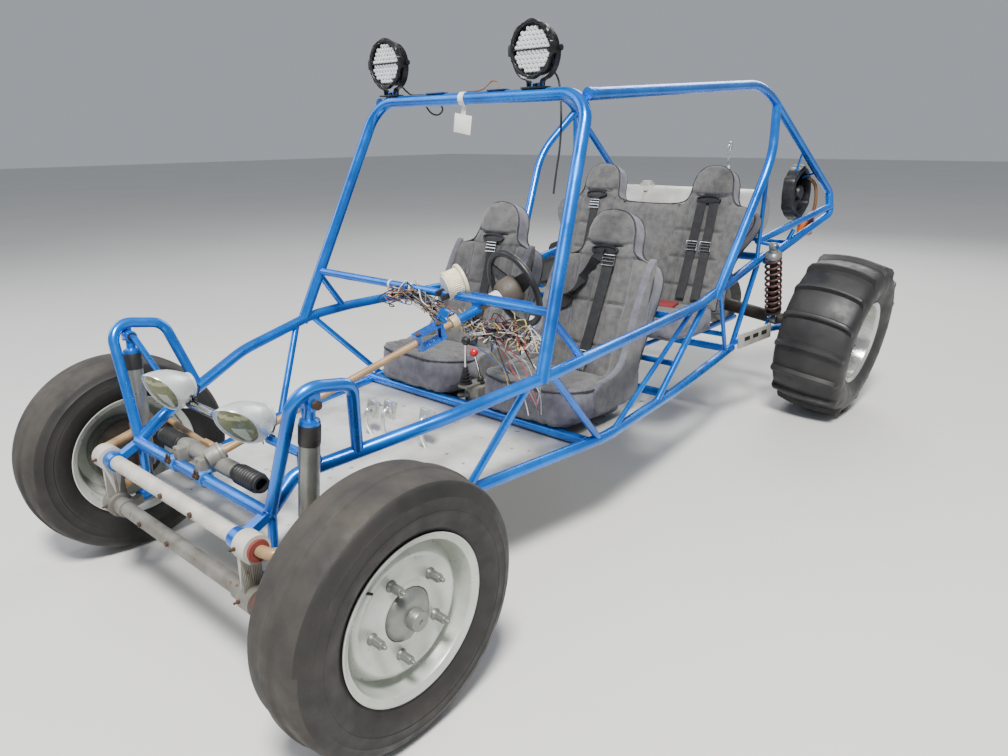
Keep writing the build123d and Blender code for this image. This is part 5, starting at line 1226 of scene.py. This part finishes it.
def can_section(turn):
    """The gauge's can, pressed in between its flutes."""
    step = round(turn * FLUTES * 4 / (2 * math.pi))
    press = 0.0016 if step % 4 < 2 else 0.0
    return [(-0.030, 0.030), (-0.030, 0.046), (-0.026, 0.049 - press), (0.018, 0.050 - press), (0.020, 0.058),
            (0.023, 0.0600), (0.030, 0.0595), (0.032, 0.056), (0.030, AXIS)]


can = Shape().turned(can_section, FLUTES * 4, gauge_place, False)
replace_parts(can.done("gauge_can", CREAM), "gauge")
gauge_back = Shape().lathe([(-0.034, AXIS), (-0.034, 0.040), (-0.029, 0.042), (-0.027, AXIS)], gauge_place, 48)
gauge_back.done("gauge_back", WHITE, "gauge_cream")
clips = Shape()
for y, z in ((0.022, -0.016), (-0.020, -0.024)):
    clips.block((0.030, 0.012, 0.018), gauge_place @ Matrix.Translation((-0.048, y, z)), 0.002)
clips.done("gauge_clips", PLASTIC)

# Loose leads behind the dash: two tangles round their spines, and the ends that hang from them
chance = random.Random(11)
TANGLE_COLOURS = (0, 0, 1, 1, 3, 3, 4, 4, 4, 5, 2, 6)
tangles = [([(-167, 756, 817), (-73, 756, 862), (28, 756, 848), (114, 756, 812), (169, 756, 792)], 40, 0.020),
           ([(215, 786, 800), (241, 786, 786), (302, 786, 766), (375, 786, 788), (437, 786, 770), (500, 782, 768)],
            64, 0.028)]
for group, (spine, count, spread) in enumerate(tangles):
    line = flowing([at(*place) for place in spine], 8)
    batches = {}
    for number in range(count):
        middle = chance.uniform(0.08, 0.92) * (len(line) - 1)
        points = []
        for k in range(7):
            place = line[int(min(max(middle + chance.uniform(-6, 6), 0), len(line) - 1))]
            points.append(place + Vector([chance.gauss(0, spread) * share for share in (1.0, 0.7, 0.8)]))
        batches.setdefault(chance.choice(TANGLE_COLOURS), []).append((points, chance.uniform(0.0012, 0.0022)))
    for colour, lines in sorted(batches.items()):
        shape = Shape()
        for points, radius in lines:
            shape.tube(flowing(points, 5), radius, 6)
        shape.done("dash_leads_%d_%d" % (group, colour), LEADS[colour], "black_rubber")
plugs = Shape()
for x, back, high, turn in ((-120, 750, 838, 0.4), (20, 752, 846, -0.5), (262, 784, 780, 0.8), (330, 782, 776, -0.3),
                            (410, 784, 782, 0.2), (385, 776, 800, 1.1)):
    plugs.block((0.030, 0.020, 0.016), spot(x, back, high) @ Matrix.Rotation(turn, 4, "Y"), 0.002)
plugs.done("dash_plugs", PLASTIC)
hanging = [
    (5, [(250, 790, 780), (300, 800, 700), (340, 820, 640), (372, 815, 560)]),
    (3, [(270, 790, 770), (350, 800, 720), (400, 820, 640), (430, 825, 540), (445, 820, 505)]),
    (6, [(310, 790, 770), (370, 790, 700), (420, 800, 620), (470, 810, 560)]),
    (5, [(330, 790, 760), (420, 770, 790), (500, 740, 830), (548, 712, 812), (575, 700, 770)]),
    (3, [(300, 790, 760), (400, 800, 700), (480, 800, 690), (540, 760, 650), (560, 720, 600)]),
    (0, [(290, 790, 760), (360, 800, 660), (440, 800, 620), (500, 790, 560), (520, 780, 520)]),
    (6, [(280, 780, 790), (380, 780, 740), (450, 780, 690), (520, 760, 600), (545, 740, 570)]),
    (4, [(320, 790, 770), (350, 790, 700), (400, 790, 600), (420, 800, 520)]),
    (2, [(230, 790, 770), (250, 780, 720), (300, 790, 690), (380, 790, 650)]),
    (3, [(240, 790, 780), (330, 790, 730), (450, 790, 700), (500, 780, 640), (540, 760, 610), (560, 740, 560)]),
]
for number, (colour, points) in enumerate(hanging):
    wire("hanging_lead_%d" % number, [at(*p) for p in points], 0.0016, LEADS[colour])
ties = Shape()
for x in (-150, -40):
    ties.lathe(band(0.004, 0.0142, 0.0165), spot(x, 775, 874), 28)
ties.done("cable_ties", WHITE)
bracket = Shape().block((0.070, 0.030, 0.040), aim(at(150, 760, 800), (0.75, 0.3, -0.45)), 0.003)
bracket.lathe([(-0.020, AXIS), (-0.020, 0.016), (0.020, 0.016), (0.020, AXIS)],
              spot(172, 752, 782) @ Matrix.Rotation(math.pi / 2, 4, "Z"), 28)
bracket.done("column_bracket", BLUE)

# Shifter: cast box, folded boot and two knobs; the pedals
shift = Shape().block((0.070, 0.110, 0.090), spot(6, 1066, 413), 0.006)
shift.block((0.050, 0.110, 0.012), spot(-6, 1030, 463), 0.004)
shift.lathe([(0, AXIS), (0, 0.016), (0.012, 0.016), (0.013, 0.007), (0.040, 0.0065), (0.042, AXIS)],
            spot(-16, 1018, 420) @ Matrix.Rotation(-2.2, 4, "Z"), 24)
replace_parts(shift.done("shift_box", CAST), "shifter")
boot = Shape()
for x, back, low, wide, folds_count in ((-14, 1004, 470, 0.025, 5), (10, 1062, 462, 0.016, 2)):
    outline = [(0.0, AXIS), (0.0, wide)]
    for fold in range(folds_count):
        out, r = fold * 0.012, wide * (1.0 - 0.13 * fold)
        outline += [(out + 0.003, r), (out + 0.007, r * 0.96), (out + 0.009, r * 0.72), (out + 0.012, r * 0.74)]
    outline += [(folds_count * 0.012 + 0.006, wide * 0.40), (folds_count * 0.012 + 0.008, AXIS)]
    boot.lathe(outline, spot(x, back, low) @ UPWARD, 36)
boot.done("shift_boots", BLACK_RUBBER)
levers = Shape().tube([at(-14, 1004, 510), at(-10, 1000, 560), at(-2, 996, 632)], 0.0050, 14)
levers.tube([at(10, 1062, 480), at(12, 1046, 530), at(11, 1030, 584)], 0.0045, 14)
levers.done("shift_levers", CHROME)
for number, (material, place, size) in enumerate(((PLASTIC, (-1, 996, 643), 0.0175), (RED, (11, 1026, 593), 0.0165))):
    knob = Shape().lathe(ball(size, 168, 8, 16, size), spot(*place) @ UPWARD, 28)
    knob.done("shift_knob_%d" % number, material, "black_plastic")
PEDAL_FOOT = 368
feet = Shape()
for x, back, tall, wide in ((-95, 600, 120, 60), (20, 580, 150, 60), (140, 640, 130, 70)):
    foot = at(x, back, PEDAL_FOOT)
    line = [foot, foot + Vector((0, -0.020, tall * 0.0004)), foot + Vector((0, -0.016, tall * 0.00075)),
            foot + Vector((0, 0.006, tall * 0.001 - 0.020))]
    feet.tube(flowing(line, 5), 0.0075, 12)
    pad = spot(x, back + 12, PEDAL_FOOT + tall - 28) @ Matrix.Rotation(math.radians(-14), 4, "X")
    feet.block((wide * MM, 0.011, 0.062), pad, 0.004)
    for step in range(5):
        feet.block((wide * MM * 0.8, 0.003, 0.004), pad @ Matrix.Translation((0, 0.0065, -0.022 + 0.011 * step)), 0.001)
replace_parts(feet.done("pedal_set", BRIGHT), "pedals")

# Fuel tank straps and its lifting hook
bands = Shape()
for x in (-205, 205):
    bands.lathe(band(0.012, 0.1152, 0.1172), spot(x, TANK_BACK, 998), 72)
    bands.block((0.020, 0.014, 0.022), spot(x, 2610, 1088) @ Matrix.Rotation(0.8, 4, "X"), 0.002)
bands.done("tank_bands", PALE)
stem = Shape().tube([at(220, TANK_BACK, 1108), at(220, 2672, 1180), at(220, 2660, 1246)], 0.0055, 14)
stem.done("hook_stem", WHITE, "tank_white")
hook = Shape().tube(flowing([at(220, 2660, 1240), at(220, 2656, 1270), at(222, 2644, 1296), at(222, 2648, 1322),
                             at(221, 2666, 1332), at(220, 2680, 1318), at(219, 2676, 1296)], 5), 0.0050, 12)
hook.lathe([(0, AXIS), (0, 0.011), (0.014, 0.011), (0.014, AXIS)],
           spot(220, 2660, 1232) @ UPWARD, 6)
hook.done("hook", CHROME)

# Cooling fan: lobed shroud, seven blades and its hangers
fan_place = spot(518, 2806, 1097)
shroud = Shape()


def shroud_section(turn):
    """The fan's rim, with six lobes."""
    lobe = 0.124 + 0.008 * max(0.0, math.cos(6 * turn)) ** 2
    return [(out, lobe * share) for out, share in (
        (-0.026, 0.100), (-0.026, 1.0), (0.010, 1.0), (0.024, 0.97), (0.028, 0.90), (0.026, 0.78), (0.010, 0.76),
        (-0.018, 0.76))]


shroud.turned(shroud_section, 120, fan_place)
shroud.lathe([(-0.020, AXIS), (-0.020, 0.034), (0.016, 0.034), (0.022, 0.030), (0.023, AXIS)], fan_place, 36)
for k in range(7):
    spin = fan_place @ Matrix.Rotation(2 * math.pi * k / 7, 4, "X")
    blade = [(0.012, -0.012, 0.030), (-0.010, 0.016, 0.030), (-0.014, 0.030, 0.090), (0.014, -0.018, 0.092)]
    shroud.slab(blade, 0.002, spin)
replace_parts(shroud.done("fan_shroud", PLASTIC, "lamp_black"), "cooling_fan")
hangers = Shape()
for roof_place, fan_back in ((at(566, 2700, 1301), 2750), (at(586, 2860, 1195), 2862)):
    hangers.tube([roof_place, at(518, fan_back, 1167)], 0.0055, 12)
hangers.done("fan_hangers", BLUE)
wire("fan_hose", [at(536, 2880, 1170), at(566, 2910, 1130), at(572, 2926, 1060), at(566, 2924, 1000),
                  at(548, 2914, 968)], 0.0085, BROWN_WIRE)
jar = Shape().lathe([(-0.046, AXIS), (-0.046, 0.030), (-0.040, 0.036), (0.020, 0.037), (0.026, 0.035),
                     (0.028, 0.0385), (0.042, 0.0385), (0.045, 0.032), (0.046, AXIS)],
                    spot(540, 2912, 932) @ UPWARD, 48)
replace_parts(jar.done("canister_jar", ORANGE), "canister")
Shape().tube([at(540, 2912, 946), at(602, 2920, 953)], 0.007, 12).done("canister_hanger", BLUE)

# Slotted pale plates over the rear arms
plates, slots = Shape(), Shape()
for sign in (1, -1):
    start, end = at(sign * 482, 2330, 441), at(sign * 528, 2590, 455)
    place = aim(start.lerp(end, 0.5), end - start)
    plates.block(((end - start).length, 0.012, 0.070), place @ Matrix.Translation((0, -0.014 * sign, 0)), 0.003)
    for step in (-0.07, 0.0, 0.07):
        slots.block((0.044, 0.0016, 0.020), place @ Matrix.Translation((step, -0.0204 * sign, 0.004)), 0.0005)
plates.done("rear_arm_plates", PALE, "rim_silver")
slots.done("rear_arm_slots", DARK)

# Harness: straps and buckles laid on the seats' faces, at places given across, up and out
left_seat, right_seat = seat_frame(SEAT_BASE, SEAT_X), seat_frame(SEAT_BASE, -SEAT_X)
bench_seat = seat_frame(BENCH_BASE, 0.0)
belts, metal = Shape(), Shape()
belt_rows = [
    (left_seat, 0.046, (0.5, 0.3, 0.8), [(-0.02, 0.515, 0.004), (-0.022, 0.495, 0.012), (-0.075, 0.40, 0.012),
                                         (-0.135, 0.30, 0.022), (-0.190, 0.298, 0.034), (-0.236, 0.296, 0.026),
                                         (-0.250, 0.295, -0.004)]),
    (left_seat, 0.046, (1, 0, 0), [(0.03, 0.515, 0.004), (0.030, 0.495, 0.012), (0.022, 0.38, 0.011),
                                   (0.010, 0.22, 0.011), (0.0, 0.12, 0.012)]),
    (right_seat, 0.046, (1, 0, 0), [(0.0, 0.515, 0.004), (0.0, 0.492, 0.012), (0.004, 0.38, 0.011),
                                    (0.0, 0.20, 0.011), (-0.004, 0.05, 0.014)])]
for u in (-0.03, 0.03):
    belt_rows.append((bench_seat, 0.044, (1, 0, 0), [
        (HEAD_X + u, 0.515, 0.004), (HEAD_X + u, 0.492, 0.012), (HEAD_X + u * 1.1, 0.36, 0.011),
        (HEAD_X + u * 1.2, 0.20, 0.012), (HEAD_X + u * 1.3, 0.06, 0.018)]))
belt_rows.append((bench_seat, 0.044, (1, 0, 0), [(-HEAD_X, 0.515, 0.004), (-HEAD_X, 0.492, 0.012),
                                                 (-HEAD_X, 0.36, 0.011), (-HEAD_X + 0.004, 0.20, 0.012)]))
for seat, wide, across, places in belt_rows:
    strap(belts, flowing([seat @ Vector(place) for place in places], 5), wide, across)
belts.done("harness_straps", BELT)
for seat, place in ((left_seat, (0.0, 0.105, 0.018)), (left_seat, (0.028, 0.482, 0.017)),
                    (right_seat, (0.0, 0.480, 0.017)), (bench_seat, (HEAD_X - 0.034, 0.305, 0.017)),
                    (bench_seat, (HEAD_X + 0.034, 0.305, 0.017)), (bench_seat, (-HEAD_X, 0.470, 0.017))):
    buckle(metal, seat @ Matrix.Translation(place), 0.054, 0.040)
metal.block((0.050, 0.056, 0.010), left_seat @ Matrix.Translation((-0.002, 0.075, 0.020)), 0.003)
metal.done("harness_buckles", CHROME)
pad = Shape().block((0.150, 0.110, 0.030), spot(250, 2000, 640) @ Matrix.Rotation(0.2, 4, "Z"), 0.010)
pad.done("lap_pad", LAP_RED, "seat_grey")


# Floor and light: a near key light for sharp shadows, with a weak fill and back light
floor_mesh = bpy.data.meshes.new("floor")
span = 40.0
floor_mesh.from_pydata([(-span, -span, 0), (span, -span, 0), (span, span, 0), (-span, span, 0)], [], [(0, 1, 2, 3)])
floor_obj = bpy.data.objects.new("floor", floor_mesh)
link(floor_obj)
floor_mesh.materials.append(surface("floor_pale", (214, 213, 210), 0.85, 0.0, 0.0, (206, 205, 202), 0.5, 0.6))

world = bpy.data.worlds.new("studio")
bpy.context.scene.world = world
world.use_nodes = True
sky = world.node_tree.nodes["Background"]
sky.inputs["Color"].default_value = (0.86, 0.92, 1.0, 1.0)
sky.inputs["Strength"].default_value = 0.42


def area_light(name, place, target, size, power, colour=(1, 1, 1)):
    light = bpy.data.lights.new(name, "AREA")
    light.size = size
    light.energy = power
    light.color = colour
    lamp = bpy.data.objects.new(name, light)
    lamp.matrix_world = Matrix.Translation(Vector(place)) @ (Vector(target) - Vector(place)).to_track_quat(
        "-Z", "Y").to_matrix().to_4x4()
    link(lamp)


area_light("key", (2.6, -3.4, 6.6), (0, 0, 0.5), 1.5, 1150, (1.0, 0.985, 0.96))
area_light("fill", (-5.0, -3.0, 4.0), (0, 0, 0.6), 4.0, 150, (0.92, 0.96, 1.0))
area_light("back", (-1.0, 6.0, 5.0), (0, 0, 0.8), 4.0, 300)
